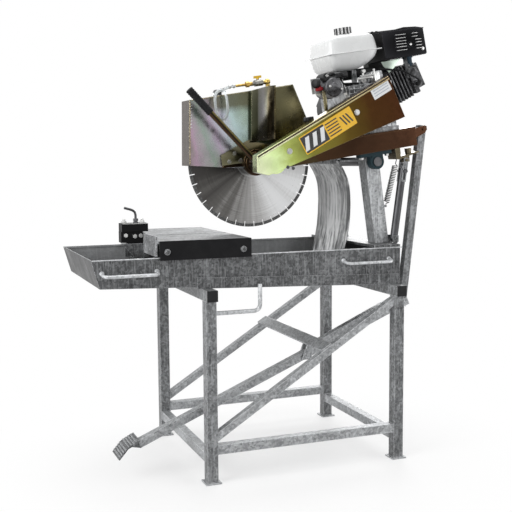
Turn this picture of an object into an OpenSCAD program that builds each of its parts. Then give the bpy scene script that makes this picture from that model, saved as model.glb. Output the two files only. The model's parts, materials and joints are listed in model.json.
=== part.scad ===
// Petrol block saw: tilting head with a segmented blade, a sliding table and a water tray on a stand.
// Units are millimetres, +Z is up, +X runs from the loading end to the engine end, -Y is the operator's side.

/* [Blade] */
// Outer diameter of the blade
blade_d = 500; // [440:5:506]
// Bore of the blade and its flanges
bore_d = 25.4; // [20:0.2:27]
// Thickness of the steel core
core_t = 3.4; // [2.6:0.2:4]
// Thickness of the cutting segments
segment_t = 4.4; // [3.6:0.2:6]
// Radial height of a segment
segment_h = 12; // [8:1:16]
// Number of segments round the rim
segment_count = 39; // [24:1:48]
// Width of the gap between two segments
segment_gap = 3.4; // [2:0.2:5]

/* [Stand] */
// Side of the square leg tube
leg_w = 40; // [35:1:45]
// Wall of the leg tube and the cross tubes
tube_wall = 3; // [2:0.5:4]
// Distance between leg centres along X
leg_gap_x = 760; // [740:5:780]
// Distance between leg centres along Y
leg_gap_y = 636; // [630:2:680]
// Height of the top cross tube at the loading end
stand_h = 707; // [690:1:715]
// How much lower the cross tube at the engine end is, which gives the tray its fall
tray_fall = 25; // [10:1:35]
// How far a cross tube stands out past the legs
tube_overhang = 16; // [5:1:30]
// Side of a foot plate
foot_w = 60; // [50:1:80]
// Thickness of a foot plate
foot_t = 6; // [4:1:10]
// Side of the lower rail tube
rail_w = 34; // [25:1:38]
// Height of the underside of the lower rails
rail_z = 106; // [80:2:150]
// Side of the diagonal brace tube
brace_w = 28; // [20:1:32]
// Height of the brace's top edge at the low leg
brace_low_z = 186; // [170:2:220]
// How far the brace's top edge at the high leg lies below the stand's height
brace_under = 69; // [68:1:100]

/* [Tray] */
// Length of the tray at its rim
tray_len = 1201; // [1180:1:1205]
// How far the tray's rim stands out past the legs' centres at the engine end
tray_out = 28; // [22:1:34]
// Outer width of the tray
tray_w = 580; // [570:2:590]
// Depth of the tray at its loading end, from the cross tube to the rim
tray_depth = 119; // [112:1:121]
// How far the sloped end leans outwards
tray_lean = 29; // [10:1:60]
// Sheet thickness of the tray
tray_t = 3; // [2:0.5:4]
// Width of the folded hem round the rim
hem_w = 6; // [5:0.5:8]
// Leg width of the angle rails under the tray
angle_w = 40; // [30:1:45]
// Thickness of the angle rails
angle_t = 5; // [4:0.5:6]
// Diameter of the carrying handles' rod
rod_d = 12; // [8:1:14]

/* [Cart] */
// Length of the table along X
table_len = 344; // [320:2:360]
// Distance from the tray's sloped rim to the table
table_in = 237; // [225:1:250]
// Height of the table's top above the tray's rim
table_up = 58; // [54:1:62]
// Thickness of the table plates
table_t = 10; // [6:1:12]
// Width of the blade slot in the table
slot_w = 14; // [10:1:20]
// Height of the rubber aprons
apron_h = 68; // [50:1:72]
// Thickness of the aprons
apron_t = 6; // [4:1:8]
// Height of the fence above the table
fence_up = 16; // [10:1:30]
// Diameter of the cart wheels
wheel_d = 38; // [34:1:42]

/* [Head] */
// Place of the tilt pivot along X, from the middle of the stand
pivot_x = 333; // [328:1:336]
// Height of the tilt pivot above the tray's rim
pivot_up = 328; // [322:1:334]
// Tilt of the head at rest
rest_tilt = 8.4; // [7.4:0.2:9.2]
// Diameter of the pivot shaft
pivot_d = 35; // [30:1:38]
// Distance of a pillow block from the middle plane
pillow_y = 225; // [222:1:228]
// Height of the head's beams
beam_h = 66; // [60:1:70]
// Width of the head's beams
beam_w = 60; // [50:1:62]
// Distance of the beams' underside above the pivot
beam_w0 = 38; // [38:1:42]
// Distance from the pivot to the blade's axis along the beams
arm_len = 441; // [436:1:446]
// Height of the blade's axis above the pivot, square to the beams
arm_rise = 65; // [60:1:70]
// Place of the blade along Y
blade_y = -26; // [-30:1:-22]
// Outer diameter of the spindle housing
housing_d = 80; // [76:1:84]
// Diameter of the spindle in its bearings
spindle_d = 30; // [28:1:34]
// Radial running clearance of the shafts
run_gap = 0.05; // [0.02:0.01:0.1]
// Width of the blade guard
guard_w = 100; // [90:2:110]
// Sheet thickness of both guards
guard_t = 2.5; // [2:0.5:3]
// Depth of the belt guard
belt_guard_w = 45; // [44:1:50]

/* [Engine] */
// Height of the crankshaft above the engine's feet
crank_h = 106; // [100:1:112]
// Distance from the pivot to the crankshaft along the beams
crank_u = 36; // [30:1:38]
// Length of the fuel tank
tank_len = 230; // [220:2:232]
// Width of the fuel tank along Y
tank_w = 226; // [210:2:240]
// Height of the fuel tank
tank_h = 142; // [130:2:146]
// Angle of the cylinder above the beams
cylinder_tilt = 19; // [15:1:22]
// Number of cooling fins
fin_count = 8; // [5:1:9]
// Diameter of the engine pulley
pulley_d = 62; // [60:1:66]
// Diameter of the spindle pulley
driven_d = 58; // [56:1:62]

/* [Linkage] */
// Place of the lever and push rod along Y
lever_y = -170; // [-176:1:-164]
// Side of the pedal lever's tube
lever_w = 30; // [26:1:32]
// Side of the push rod's tube
push_w = 30; // [24:1:31]
// Diameter of the linkage pins
pin_d = 12; // [10:1:14]
// Mean diameter of the return spring
spring_d = 22; // [18:1:24]
// Wire diameter of the return spring
wire_d = 3.6; // [3:0.2:4.2]
// Number of turns of the return spring
spring_turns = 22; // [14:1:24]

/* [Hidden] */
$fn = 64;
e = 0.01;

// Colours
galv = "#a9adb0";
gold = "#a08a3c";
bronze = "#6d5a2c";
dark = "#1b1c1e";
iron = "#4b5052";

// Stand, worked out from the sizes above
half_x = leg_gap_x / 2;
half_y = leg_gap_y / 2;
tube_end_y = half_y + leg_w / 2 + tube_overhang;
fall = tray_fall / leg_gap_x;
function tube_top(x) = stand_h - fall * (x + half_x);
function rail_under(x) = tube_top(x) + fall * leg_w / 2;
function tray_under(x) = rail_under(x) + angle_t;
tray_right = half_x + tray_out;
tray_left = tray_right - tray_len;
tray_hy = tray_w / 2;
tray_rim_z = stand_h + tray_depth;
pivot_z = tray_rim_z + pivot_up;
brace_high_z = stand_h - brace_under;
brace_slope = (brace_high_z - brace_low_z) / (leg_gap_x - leg_w);
function brace_top(x) = brace_low_z + brace_slope * (x + half_x - leg_w / 2);

// Whole object: the origin lies under the middle of its box
muffler_u = 327;
muffler_w = 275;
function world_x(u, w, t) = pivot_x + u * cos(t) - w * sin(t);
function world_z(u, w, t) = pivot_z + u * sin(t) + w * cos(t);
bed_t = 6;
bed_top = beam_w0 + beam_h + bed_t;
crank_w = bed_top + crank_h;
cover_x1 = 292;
cover_z0 = -48;
cover_u = crank_u + cover_x1 * cos(cylinder_tilt) - cover_z0 * sin(cylinder_tilt);
cover_w = crank_w + cover_x1 * sin(cylinder_tilt) + cover_z0 * cos(cylinder_tilt);
right_end = world_x(cover_u, cover_w, rest_tilt);
shift_x = -(tray_left + right_end) / 2;

// Cart
table_x0 = tray_left + table_in;
table_x1 = table_x0 + table_len;
table_z = tray_rim_z + table_up;
apron_y = tray_hy + 6;
cross_bar = 24;
cross_z = tray_rim_z - 74;
side_y = tray_hy - 18;
side_t = 5;
fence_t = 6;
fence_drop = 62;
wheel_x = 30;
wheel_gap = 0.3;
wheel_z = tray_rim_z + wheel_d / 2 + wheel_gap;
wheel_w = 10;
axle_d = 10;

// Head
head_y = pillow_y + 25;
beam_u1 = 178;
bed_u0 = -150;
near_guard_y = blade_y - guard_w / 2;
far_guard_y = blade_y + guard_w / 2;
belt_y0 = -head_y - 2 - belt_guard_w;
belt_y1 = -head_y - 2;
housing_r = housing_d / 2;
bearing_r = 31;
bearing_t = 16;
flange_r = 55;
flange_t = 10;
pillow_w = 32;
post_w = 60;
post_y1 = -145;
post_lean = 0.141;
base_t = 10;
drum_r = 42;

// Linkage, at rest
cross_at = 76;
lever_drop = 50.7;
lever_pivot = [cross_at - 21, brace_top(cross_at) - lever_drop];
lever_slope = 0.416;
function on_lever(x) = [x, lever_pivot[1] + lever_slope * (x - lever_pivot[0])];
rod_low = on_lever(484);
rod_high_u = 250;
rod_high_w = 92;
rod_high = [world_x(rod_high_u, rod_high_w, rest_tilt), world_z(rod_high_u, rod_high_w, rest_tilt)];
strut_y = -215;
strut_low = [tray_right + 14, tray_rim_z + 27];
strut_u = 131;
strut_w = -14;
strut_high = [world_x(strut_u, strut_w, rest_tilt), world_z(strut_u, strut_w, rest_tilt)];
strut_bolt_at = 43;
strut_r = 15;
eye_gap = 1.5;

// Helpers
module place() translate([shift_x, 0, 0]) children();
module head() place() translate([pivot_x, 0, pivot_z]) rotate([0, -rest_tilt, 0]) children();
module xz(y0, y1) translate([0, y1, 0]) rotate([90, 0, 0]) linear_extrude(y1 - y0) children();
module bar_y(x, z, r, y0, y1) translate([x, y0, z]) rotate([-90, 0, 0]) cylinder(h = y1 - y0, r = r);
module block(x0, x1, y0, y1, z0, z1) translate([x0, y0, z0]) cube([x1 - x0, y1 - y0, z1 - z0]);
module fallen(x0, x1, y0, y1, z0, z1) {
  xz(y0, y1) polygon([[x0, rail_under(x0) + z0], [x1, rail_under(x1) + z0],
    [x1, rail_under(x1) + z1], [x0, rail_under(x0) + z1]]);
}
module tube_y(x, w, y0, y1, z0, t) {
  difference() {
    block(x - w / 2, x + w / 2, y0, y1, z0, z0 + w);
    block(x - w / 2 + t, x + w / 2 - t, y0 - e, y1 + e, z0 + t, z0 + w - t);
  }
}
// A strip of width w from a to b in the XZ plane
module strip(a, b, w) {
  d = norm(b - a);
  n = [-(b - a)[1], (b - a)[0]] * w / 2 / d;
  polygon([a - n, b - n, b + n, a + n]);
}
// A straight round rod from a to b
module rod(a, b, r) {
  d = b - a;
  l = norm(d);
  translate(a)
    rotate([0, acos(d[2] / l), atan2(d[1], d[0])])
      cylinder(h = l, r = r, $fn = 24);
}
// Convex outline, counter-clockwise, drawn in by d
function unit(v) = v / norm(v);
function edge_n(p, i) = let (d = unit(p[(i + 1) % len(p)] - p[i])) [-d[1], d[0]];
function inset(p, d) = [for (i = [0 : len(p) - 1])
  let (j = (i + len(p) - 1) % len(p), a = edge_n(p, j), b = edge_n(p, i))
  p[i] + (a + b) * d / (1 + a * b)];
// Tube swept along points: rings of s sides and radius r, carried along the path without twist
function dir_at(p, i) = unit(p[min(i + 1, len(p) - 1)] - p[max(i - 1, 0)]);
function first_side(d) = unit(cross(d, abs(d[1]) < 0.8 ? [0, 1, 0] : [1, 0, 0]));
function carry(p, a, i) = let (d = dir_at(p, i), b = unit(a - (a * d) * d))
  i == len(p) - 1 ? [b] : concat([b], carry(p, b, i + 1));
function ring(c, d, a, r, s) = let (b = cross(d, a))
  [for (k = [0 : s - 1]) c + r * (cos(360 * k / s) * a + sin(360 * k / s) * b)];
module sweep(p, r, s) {
  n = len(p);
  a = carry(p, first_side(dir_at(p, 0)), 0);
  pts = [for (i = [0 : n - 1]) each ring(p[i], dir_at(p, i), a[i], r, s)];
  sides = [for (i = [0 : n - 2]) for (k = [0 : s - 1]) each
    [[i * s + k, (i + 1) * s + (k + 1) % s, i * s + (k + 1) % s],
     [i * s + k, (i + 1) * s + k, (i + 1) * s + (k + 1) % s]]];
  low = [for (k = [1 : s - 2]) [0, k, k + 1]];
  high = [for (k = [1 : s - 2]) [(n - 1) * s, (n - 1) * s + k + 1, (n - 1) * s + k]];
  polyhedron(points = pts, faces = concat(low, sides, high));
}

// Stand

module stand_legs() {
  color(galv) place()
    for (sx = [-1, 1]) for (sy = [-1, 1]) translate([sx * half_x, sy * half_y, foot_t]) {
      h = tube_top(sx * half_x) - leg_w - foot_t;
      difference() {
        translate([-leg_w / 2, -leg_w / 2, 0]) cube([leg_w, leg_w, h]);
        translate([-leg_w / 2 + tube_wall, -leg_w / 2 + tube_wall, -e])
          cube([leg_w - 2 * tube_wall, leg_w - 2 * tube_wall, h + 2 * e]);
      }
    }
}

module foot_plates() {
  color(galv) place()
    for (sx = [-1, 1]) for (sy = [-1, 1])
      translate([sx * half_x - foot_w / 2, sy * half_y - foot_w / 2, 0]) cube([foot_w, foot_w, foot_t]);
}

// Rails between the legs: two along X and two along Y
module lower_rails() {
  in = rail_w - 2 * tube_wall;
  color(galv) place() {
    for (sy = [-1, 1]) translate([-half_x + leg_w / 2, sy * half_y, rail_z]) difference() {
      translate([0, -rail_w / 2, 0]) cube([leg_gap_x - leg_w, rail_w, rail_w]);
      translate([-e, -in / 2, tube_wall]) cube([leg_gap_x - leg_w + 2 * e, in, in]);
    }
    for (sx = [-1, 1])
      tube_y(sx * half_x, rail_w, -half_y + leg_w / 2, half_y - leg_w / 2, rail_z - rail_w, tube_wall);
  }
}

module top_cross_tubes() {
  color(galv) place()
    for (sx = [-1, 1])
      tube_y(sx * half_x, leg_w, -tube_end_y, tube_end_y, tube_top(sx * half_x) - leg_w, tube_wall);
}

// Black plugs in the cross tubes' ends
module tube_end_caps() {
  in = leg_w - 2 * tube_wall;
  color(dark) place()
    for (sx = [-1, 1]) for (sy = [-1, 1])
      translate([sx * half_x, sy * tube_end_y, tube_top(sx * half_x) - leg_w / 2]) {
        rotate([sy * -90, 0, 0]) translate([-leg_w / 2, -leg_w / 2, 0]) cube([leg_w, leg_w, 3]);
        rotate([sy * 90, 0, 0]) translate([-in / 2, -in / 2, 0]) cube([in, in, 12]);
      }
}

function brace_line(x, d) = [x, brace_top(x) - d];
module diagonal_braces() {
  drop = brace_w * sqrt(1 + brace_slope * brace_slope);
  wall = tube_wall * sqrt(1 + brace_slope * brace_slope);
  x0 = -half_x + leg_w / 2;
  x1 = half_x - leg_w / 2;
  color(galv) place() for (sy = [-1, 1]) translate([0, sy * half_y, 0]) difference() {
    xz(-brace_w / 2, brace_w / 2)
      polygon([brace_line(x0, drop), brace_line(x1, drop), brace_line(x1, 0), brace_line(x0, 0)]);
    xz(-brace_w / 2 + tube_wall, brace_w / 2 - tube_wall)
      polygon([brace_line(x0 - 1, drop - wall), brace_line(x1 + 1, drop - wall),
        brace_line(x1 + 1, wall), brace_line(x0 - 1, wall)]);
  }
}

// Flat bar across both braces, with two cheeks that carry the pedal lever's pin
cross_w = 46;
cross_t = 8;
cheek_gap = 1;
module brace_cross_plate() {
  ang = atan(brace_slope);
  hy = half_y + brace_w / 2;
  color(galv) place() {
    translate([cross_at, 0, brace_top(cross_at)]) rotate([0, -ang, 0])
      translate([-cross_w / 2, -hy, 0]) cube([cross_w, 2 * hy, cross_t]);
    for (s = [-1, 1]) {
      y = lever_y + s * (lever_w / 2 + cheek_gap + 3);
      difference() {
        xz(y - 3, y + 3) polygon([lever_pivot + [-20, -18], lever_pivot + [20, -18],
          [cross_at + 16, brace_top(cross_at + 16)], [cross_at - 18, brace_top(cross_at - 18)]]);
        bar_y(lever_pivot[0], lever_pivot[1], pin_d / 2, y - 4, y + 4);
      }
    }
    bar_y(lever_pivot[0], lever_pivot[1], pin_d / 2,
      lever_y - lever_w / 2 - cheek_gap - 12, lever_y + lever_w / 2 + cheek_gap + 12);
    for (s = [-1, 1])
      translate([lever_pivot[0], lever_y + s * (lever_w / 2 + cheek_gap + 10), lever_pivot[1]])
        rotate([90, 0, 0]) translate([0, 0, -4]) cylinder(h = 8, r = 11, $fn = 6);
  }
}

// Tray

module side_angle_rails() {
  x0 = -half_x - 37;
  color(galv) place() for (s = [0, 1]) mirror([0, s, 0]) {
    fallen(x0, tray_right - 8, -tray_hy - angle_t, -tray_hy, 0, angle_w);
    fallen(x0, tray_right - 8, -tray_hy, -tray_hy + angle_w - angle_t, 0, angle_t);
  }
}

module water_tray() {
  lx = tray_left + tray_lean;
  outer = [[tray_left, tray_rim_z], [lx, tray_under(lx)],
    [tray_right, tray_under(tray_right)], [tray_right, tray_rim_z]];
  inner = [[tray_left + tray_t, tray_rim_z + 1], [lx + tray_t, tray_under(lx) + tray_t],
    [tray_right - tray_t, tray_under(tray_right) + tray_t], [tray_right - tray_t, tray_rim_z + 1]];
  drain_z = tray_under(tray_right) + 34;
  color(galv) place() {
    difference() {
      xz(-tray_hy, tray_hy) polygon(outer);
      xz(-tray_hy + tray_t, tray_hy - tray_t) polygon(inner);
      translate([tray_right - 10, tray_hy - 60, drain_z]) rotate([0, 90, 0]) cylinder(h = 20, r = 14);
    }
    for (s = [0, 1]) mirror([0, s, 0])
      block(tray_left + tray_t, tray_right, -tray_hy, -tray_hy + hem_w, tray_rim_z - 8, tray_rim_z);
    translate([tray_right - tray_t, tray_hy - 60, drain_z]) rotate([0, 90, 0]) {
      cylinder(h = tray_t + 12, r = 14);
      translate([0, 0, tray_t + 2]) cylinder(h = 8, r = 18, $fn = 6);
    }
  }
}

// Bent rods: two carrying handles a side, and the long hook under the operator's side
handle_len = 194;
handle_out = 34;
module tray_handles() {
  y0 = -tray_hy;
  r = rod_d / 2;
  hook_x = -181;
  hook_y = -tray_hy - angle_t - 8;
  hook_z = stand_h - 90;
  color(galv) place() {
    places = [[tray_left + 37, tray_rim_z - 47], [tray_right - 244, tray_rim_z - 43]];
    for (s = [0, 1]) mirror([0, s, 0]) for (h = places) {
      x0 = h[0];
      x1 = h[0] + handle_len;
      d = handle_out;
      z = h[1];
      sweep([[x0, y0, z], [x0, y0 - 6, z], [x0, y0 - d + 18, z - 3],
        [x0 + 3, y0 - d + 8, z - 6], [x0 + 10, y0 - d + 2, z - 8],
        [x0 + 20, y0 - d, z - 9], [x1 - 20, y0 - d, z - 9], [x1 - 10, y0 - d + 2, z - 8],
        [x1 - 3, y0 - d + 8, z - 6], [x1, y0 - d + 18, z - 3], [x1, y0 - 6, z],
        [x1, y0, z]], r, 12);
    }
    sweep([[hook_x, hook_y, rail_under(hook_x) + 30], [hook_x, hook_y, hook_z + 26],
      [hook_x - 3, hook_y, hook_z + 13], [hook_x - 12, hook_y, hook_z + 3],
      [hook_x - 26, hook_y, hook_z], [-half_x + leg_w / 2, hook_y, hook_z]], 8, 12);
  }
}

// Head support

// Thick plate on the tray's rim, with the lug that holds the strut
base_x0 = tray_right - 112;
module post_base() {
  color(galv) place() {
    block(base_x0, tray_right, -tray_hy, tray_hy, tray_rim_z, tray_rim_z + base_t);
    for (s = [-1, 1]) difference() {
      y = strut_y + s * (strut_r + 4);
      xz(y - 3, y + 3) polygon([[tray_right, tray_rim_z], [tray_right, tray_rim_z + base_t],
        [tray_right - 2, tray_rim_z + 40], strut_low + [10, 12], strut_low + [10, -12],
        [tray_right, tray_rim_z - 6]]);
      bar_y(strut_low[0], strut_low[1], pin_d / 2, y - 4, y + 4);
    }
    bar_y(strut_low[0], strut_low[1], pin_d / 2, strut_y - strut_r - 11, strut_y + strut_r + 11);
  }
}

function post_x(z) = pivot_x - 3 + post_lean * (pivot_z - z);
hook_up = pivot_z - 170;
inner_top = pivot_z - 54;
module pivot_posts() {
  z0 = tray_rim_z + base_t;
  h = post_w / 2;
  color(galv) place() curtain_bars();
  color(galv) place() for (s = [0, 1]) mirror([0, s, 0]) difference() {
    union() {
      xz(post_y1 - post_w, post_y1) polygon([[post_x(z0) - h, z0], [post_x(z0) + h, z0],
        [post_x(pivot_z) + h, pivot_z], [post_x(pivot_z) - h, pivot_z]]);
      bar_y(pivot_x, pivot_z, h + 3, post_y1 - post_w, post_y1);
    }
    xz(post_y1 - post_w + 4, post_y1 - 4) polygon([[post_x(z0) - h + 4, z0 - 1], [post_x(z0) + h - 4, z0 - 1],
      [post_x(inner_top) + h - 4, inner_top], [post_x(inner_top) - h + 4, inner_top]]);
    bar_y(pivot_x, pivot_z, pivot_d / 2, post_y1 - post_w - 1, post_y1 + 1);
  }
  color(galv) place() translate([post_x(hook_up) + post_w / 2 - 1, spring_y - 3, hook_up - 10])
    cube([27, 6, 9.4]);
}

module pivot_shaft() {
  color(iron) place() bar_y(pivot_x, pivot_z, pivot_d / 2, -pillow_y - 20, pillow_y + 20);
}

curtain_hy = 150;
curtain_top = [pivot_x - 127, pivot_z + 8];
module curtain_bars() {
  z = curtain_top[1];
  block(curtain_top[0] - 2, curtain_top[0] + 12, -curtain_hy - 4, curtain_hy + 4, z, z + 8);
  for (s = [0, 1]) mirror([0, s, 0])
    block(curtain_top[0] + 12, post_x(z) - post_w / 2 + 1, -curtain_hy - 4, -curtain_hy + 16, z - 8, z);
}

// Rubber curtain, bowed towards the posts
module splash_curtain() {
  t = 5;
  back = [for (p = [[0, 0], [16, -16], [32, -40], [46, -68], [55, -98], [59, -132], [60, -172],
    [58, -222], [53, -272], [44, -317], [35, -354], [26, -390]]) curtain_top + p];
  n = len(back);
  color("#8b8d8e") place() xz(-curtain_hy, curtain_hy)
    polygon(concat(back, [for (i = [n - 1 : -1 : 0]) back[i] + [-t, i == 0 ? 0 : -1]]));
}

// Linkage

lever_x0 = -612;
lever_n = unit([-lever_slope, 1]);
strap_x = [110, 440];
module pedal_lever() {
  r = lever_w / 2;
  up = lever_w / 2 / cos(atan(lever_slope));
  end_gap = push_w / 2 + 9;
  pack_t = max(1, (push_w - lever_w) / 2 + 4);
  color(galv) place() difference() {
    union() {
      xz(lever_y - r, lever_y + r) strip(on_lever(lever_x0), rod_low - [end_gap, end_gap * lever_slope], lever_w);
      xz(lever_y - r, lever_y + r) polygon([on_lever(strap_x[0]) + [0, up - 1],
        on_lever(strap_x[1]) + [0, up - 1], on_lever(strap_x[1]) + [0, up + 24],
        on_lever(strap_x[0]) + [0, up + 14], on_lever(strap_x[0] - 24) + [0, up - 1]]);
      for (s = [-1, 1]) xz(lever_y + s * (push_w / 2 + 4.5) - 2.5, lever_y + s * (push_w / 2 + 4.5) + 2.5)
        strip(rod_low - [40, 40 * lever_slope], rod_low + [20, 20 * lever_slope], lever_w);
      for (s = [0, 1]) translate([0, lever_y, 0]) mirror([0, s, 0]) xz(r - 1, r - 1 + pack_t)
        strip(rod_low - [40, 40 * lever_slope], rod_low - [end_gap, end_gap * lever_slope], lever_w - 2);
      bar_y(rod_low[0], rod_low[1], pin_d / 2, lever_y - push_w / 2 - 12, lever_y + push_w / 2 + 12);
    }
    bar_y(lever_pivot[0], lever_pivot[1], pin_d / 2 + run_gap, lever_y - r - 1, lever_y + r + 1);
  }
}

// Bent tread plate on the lever's low end
ridge = on_lever(lever_x0) + [-52, 0.5];
module pedal_plate() {
  hw = 52;
  t = 6;
  color(galv) place() {
    xz(lever_y - hw, lever_y + hw) union() {
      strip(ridge, ridge + [-33, -38], t);
      strip(ridge, ridge + [46, 24], t);
      translate(ridge) circle(r = t / 2);
    }
    xz(lever_y - 20, lever_y + 20) polygon([on_lever(lever_x0) - 14 * lever_n,
      on_lever(lever_x0) + 14 * lever_n,
      ridge + [34, 14], ridge + [4, -2]]);
  }
}

module push_rod() {
  l = norm(rod_high - rod_low);
  ang = atan2(rod_high[0] - rod_low[0], rod_high[1] - rod_low[1]);
  w = push_w / 2;
  color(galv) place() translate([rod_low[0], lever_y, rod_low[1]]) rotate([0, ang, 0]) difference() {
    union() {
      translate([-w, -w, -w]) cube([push_w, push_w, l + 2 * w]);
    }
    translate([-w + 2.5, -w + 2.5, 20]) cube([push_w - 5, push_w - 5, l - 40]);
    bar_y(0, 0, pin_d / 2 + run_gap, -w - 1, w + 1);
    bar_y(0, l, pin_d / 2 + eye_gap, -w - 1, w + 1);
  }
}

strut_ang = atan2(strut_high[0] - strut_low[0], strut_high[1] - strut_low[1]);
strut_len = norm(strut_high - strut_low);
module strut_frame() place()
  translate([strut_low[0], strut_y, strut_low[1]]) rotate([0, strut_ang, 0]) children();

// Tube of the stop strut, with the cross bolt that runs in the fork's slots
module strut_tube() {
  top = strut_len - strut_bolt_at;
  color(iron) strut_frame() {
    difference() {
      union() {
        cylinder(h = top + 10, r = strut_r);
        sphere(r = strut_r);
      }
      translate([0, 0, 20]) cylinder(h = top, r = strut_r - 3);
      bar_y(0, 0, pin_d / 2 + run_gap, -strut_r - 1, strut_r + 1);
    }
    bar_y(0, top, 5, -strut_r - 9, strut_r + 9);
    for (s = [-1, 1]) translate([0, s * (strut_r + 9), top]) rotate([90, 0, 0])
      translate([0, 0, -3]) cylinder(h = 6, r = 9, $fn = 6);
  }
}

// Two slotted flat bars on the head's rear bracket
module strut_fork() {
  low = strut_bolt_at + 42;
  color(galv) strut_frame() translate([0, 0, strut_len]) {
    for (s = [-1, 1]) difference() {
      y = s * (strut_r + 3);
      translate([-9, y - 2, -low]) cube([18, 4, low + 9]);
      translate([-6, y - 3, -low + 7]) cube([12, 6, low - strut_bolt_at + 1.5]);
      bar_y(0, 0, pin_d / 2 + run_gap, y - 3, y + 3);
    }
    bar_y(0, -strut_bolt_at + 26, 4, -strut_r - 2, strut_r + 2);
  }
}

// Coil of the return spring: one tube from hook to hook
spring_y = -175;
spring_hi = [world_x(116, -22, rest_tilt), world_z(116, -22, rest_tilt)];
spring_lo = [post_x(hook_up) + post_w / 2 + 24, hook_up];
spring_steps = 8;
spring_hook = 12;
function spring_point(k) =
  let (n = spring_turns * spring_steps, f = k / n, l = norm(spring_hi - spring_lo) - 2 * spring_hook,
    z = spring_hook + f * l, a = 360 * k / spring_steps)
  [spring_d / 2 * cos(a), spring_d / 2 * sin(a), z];
spring_line = concat(
  [[0, 0, 0], [0, 0, 5]],
  [for (k = [0 : spring_turns * spring_steps]) spring_point(k)],
  [[0, 0, norm(spring_hi - spring_lo) - 4], [0, 0, norm(spring_hi - spring_lo) + 20]]);
spring_count = len(spring_line);
spring_least_gap = min([for (i = [0 : spring_count - 1])
  for (j = [i + spring_steps / 2 : 1 : spring_count - 1]) norm(spring_line[i] - spring_line[j])]) - wire_d;
echo(spring_least_gap = spring_least_gap);
module return_spring() {
  ang = atan2(spring_hi[0] - spring_lo[0], spring_hi[1] - spring_lo[1]);
  color(dark) place() translate([spring_lo[0], spring_y, spring_lo[1]]) rotate([0, ang, 0])
    sweep(spring_line, wire_d / 2, 6);
}

// Cart

module cart_table() {
  ys = blade_y - slot_w / 2;
  color("#b7babb") place() {
    block(table_x0, table_x1, -apron_y, ys, table_z - table_t, table_z);
    block(table_x0, table_x1, ys + slot_w, apron_y, table_z - table_t, table_z);
  }
}

module cart_aprons() {
  color(dark) place() for (s = [0, 1]) mirror([0, s, 0]) difference() {
    block(table_x0 + 4, table_x1, -apron_y - apron_t, -apron_y, table_z - apron_h, table_z);
    for (x = [table_x0 + wheel_x, table_x1 - wheel_x])
      bar_y(x, wheel_z, axle_d / 2, -apron_y - apron_t - 1, -apron_y + 1);
  }
}

// Side plates, ribs beside the slot and the cross bars below the blade's reach
module cart_frame() {
  under = table_z - table_t;
  low = cross_z + cross_bar;
  color(galv) place() {
    for (s = [-1, 1]) {
      y = s * (side_y - side_t / 2);
      block(table_x0 + 8, table_x1 - 8, y - side_t / 2, y + side_t / 2, low, under);
      r = blade_y + s * (slot_w / 2 + 12);
      block(table_x0 + 8, table_x1 - 8, r - 2, r + 2, low, under);
    }
    for (s = [0, 1]) mirror([0, s, 0]) for (x = [table_x0 + wheel_x, table_x1 - wheel_x]) {
      bar_y(x, wheel_z, axle_d / 2, -apron_y - apron_t, -side_y);
      bar_y(x, wheel_z, 11, -apron_y - apron_t - 1.5, -apron_y - apron_t);
      translate([x, -apron_y - apron_t - 1.5, wheel_z]) rotate([90, 0, 0]) cylinder(h = 7, r = 9, $fn = 6);
    }
    xz(stop_y - 4, stop_y) polygon([[table_x0 - fence_t, table_z - 22], [arm_x0 + 1, table_z - 22],
      [table_x0 - 40, table_z - 72], [table_x0 + 12, table_z - 72], [table_x0 + 12, table_z - fence_drop],
      [table_x0 - fence_t, table_z - fence_drop]]);
    for (x = [table_x0 + 30, table_x1 - 30 - cross_bar])
      block(x, x + cross_bar, -side_y, side_y, cross_z, low);
  }
}

module cart_fence() {
  ys = blade_y - slot_w / 2;
  x1 = table_x0;
  color(iron) place() {
    block(x1 - fence_t, x1, -tray_hy + hem_w + 2, ys - 4, table_z - fence_drop + 6, table_z + fence_up);
    block(x1 - fence_t, x1, ys + slot_w + 4, tray_hy - hem_w - 2,
      table_z - fence_drop + 6, table_z + fence_up);
  }
}

module cart_wheels(x) {
  color(dark) place() for (s = [0, 1]) mirror([0, s, 0]) difference() {
    bar_y(x, wheel_z, wheel_d / 2, -tray_hy - 2, -tray_hy - 2 + wheel_w);
    bar_y(x, wheel_z, axle_d / 2 + run_gap, -tray_hy - 3, -tray_hy + wheel_w);
  }
}
module cart_wheels_left() cart_wheels(table_x0 + wheel_x);
module cart_wheels_right() cart_wheels(table_x1 - wheel_x);

// Work stop: a black arm behind the fence, its gusset and the block on top
stop_y = -100;
arm_x0 = table_x0 - 88;
arm_z = table_z - 18;
module stop_block() {
  x1 = table_x0 - fence_t;
  color(dark) place() {
    block(arm_x0, x1, stop_y, stop_y + 40, arm_z, arm_z + 40);
    block(arm_x0 + 20, x1, stop_y, stop_y + 6, arm_z - 16, arm_z);
    difference() {
      block(arm_x0 + 2, arm_x0 + 100, stop_y - 6, stop_y + 46, arm_z + 40, arm_z + 70);
      translate([arm_x0 + 60, stop_y + 20, arm_z + 40]) cylinder(h = 31, r = 6 + run_gap);
    }
    translate([arm_x0 + 84, stop_y + 20, arm_z + 70]) cylinder(h = 6, r = 8, $fn = 6);
  }
}

module stop_screw() {
  x = arm_x0 + 60;
  y = stop_y + 20;
  z = arm_z + 40.3;
  color(galv) place() {
    translate([x, y, z]) cylinder(h = 46, r = 6);
    sweep([[x, y, z + 40], [x, y, z + 60], [x - 3, y, z + 70],
      [x - 10, y, z + 76], [x - 20, y, z + 80], [x - 42, y, z + 86]], 4.5, 12);
  }
}

// Head

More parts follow.
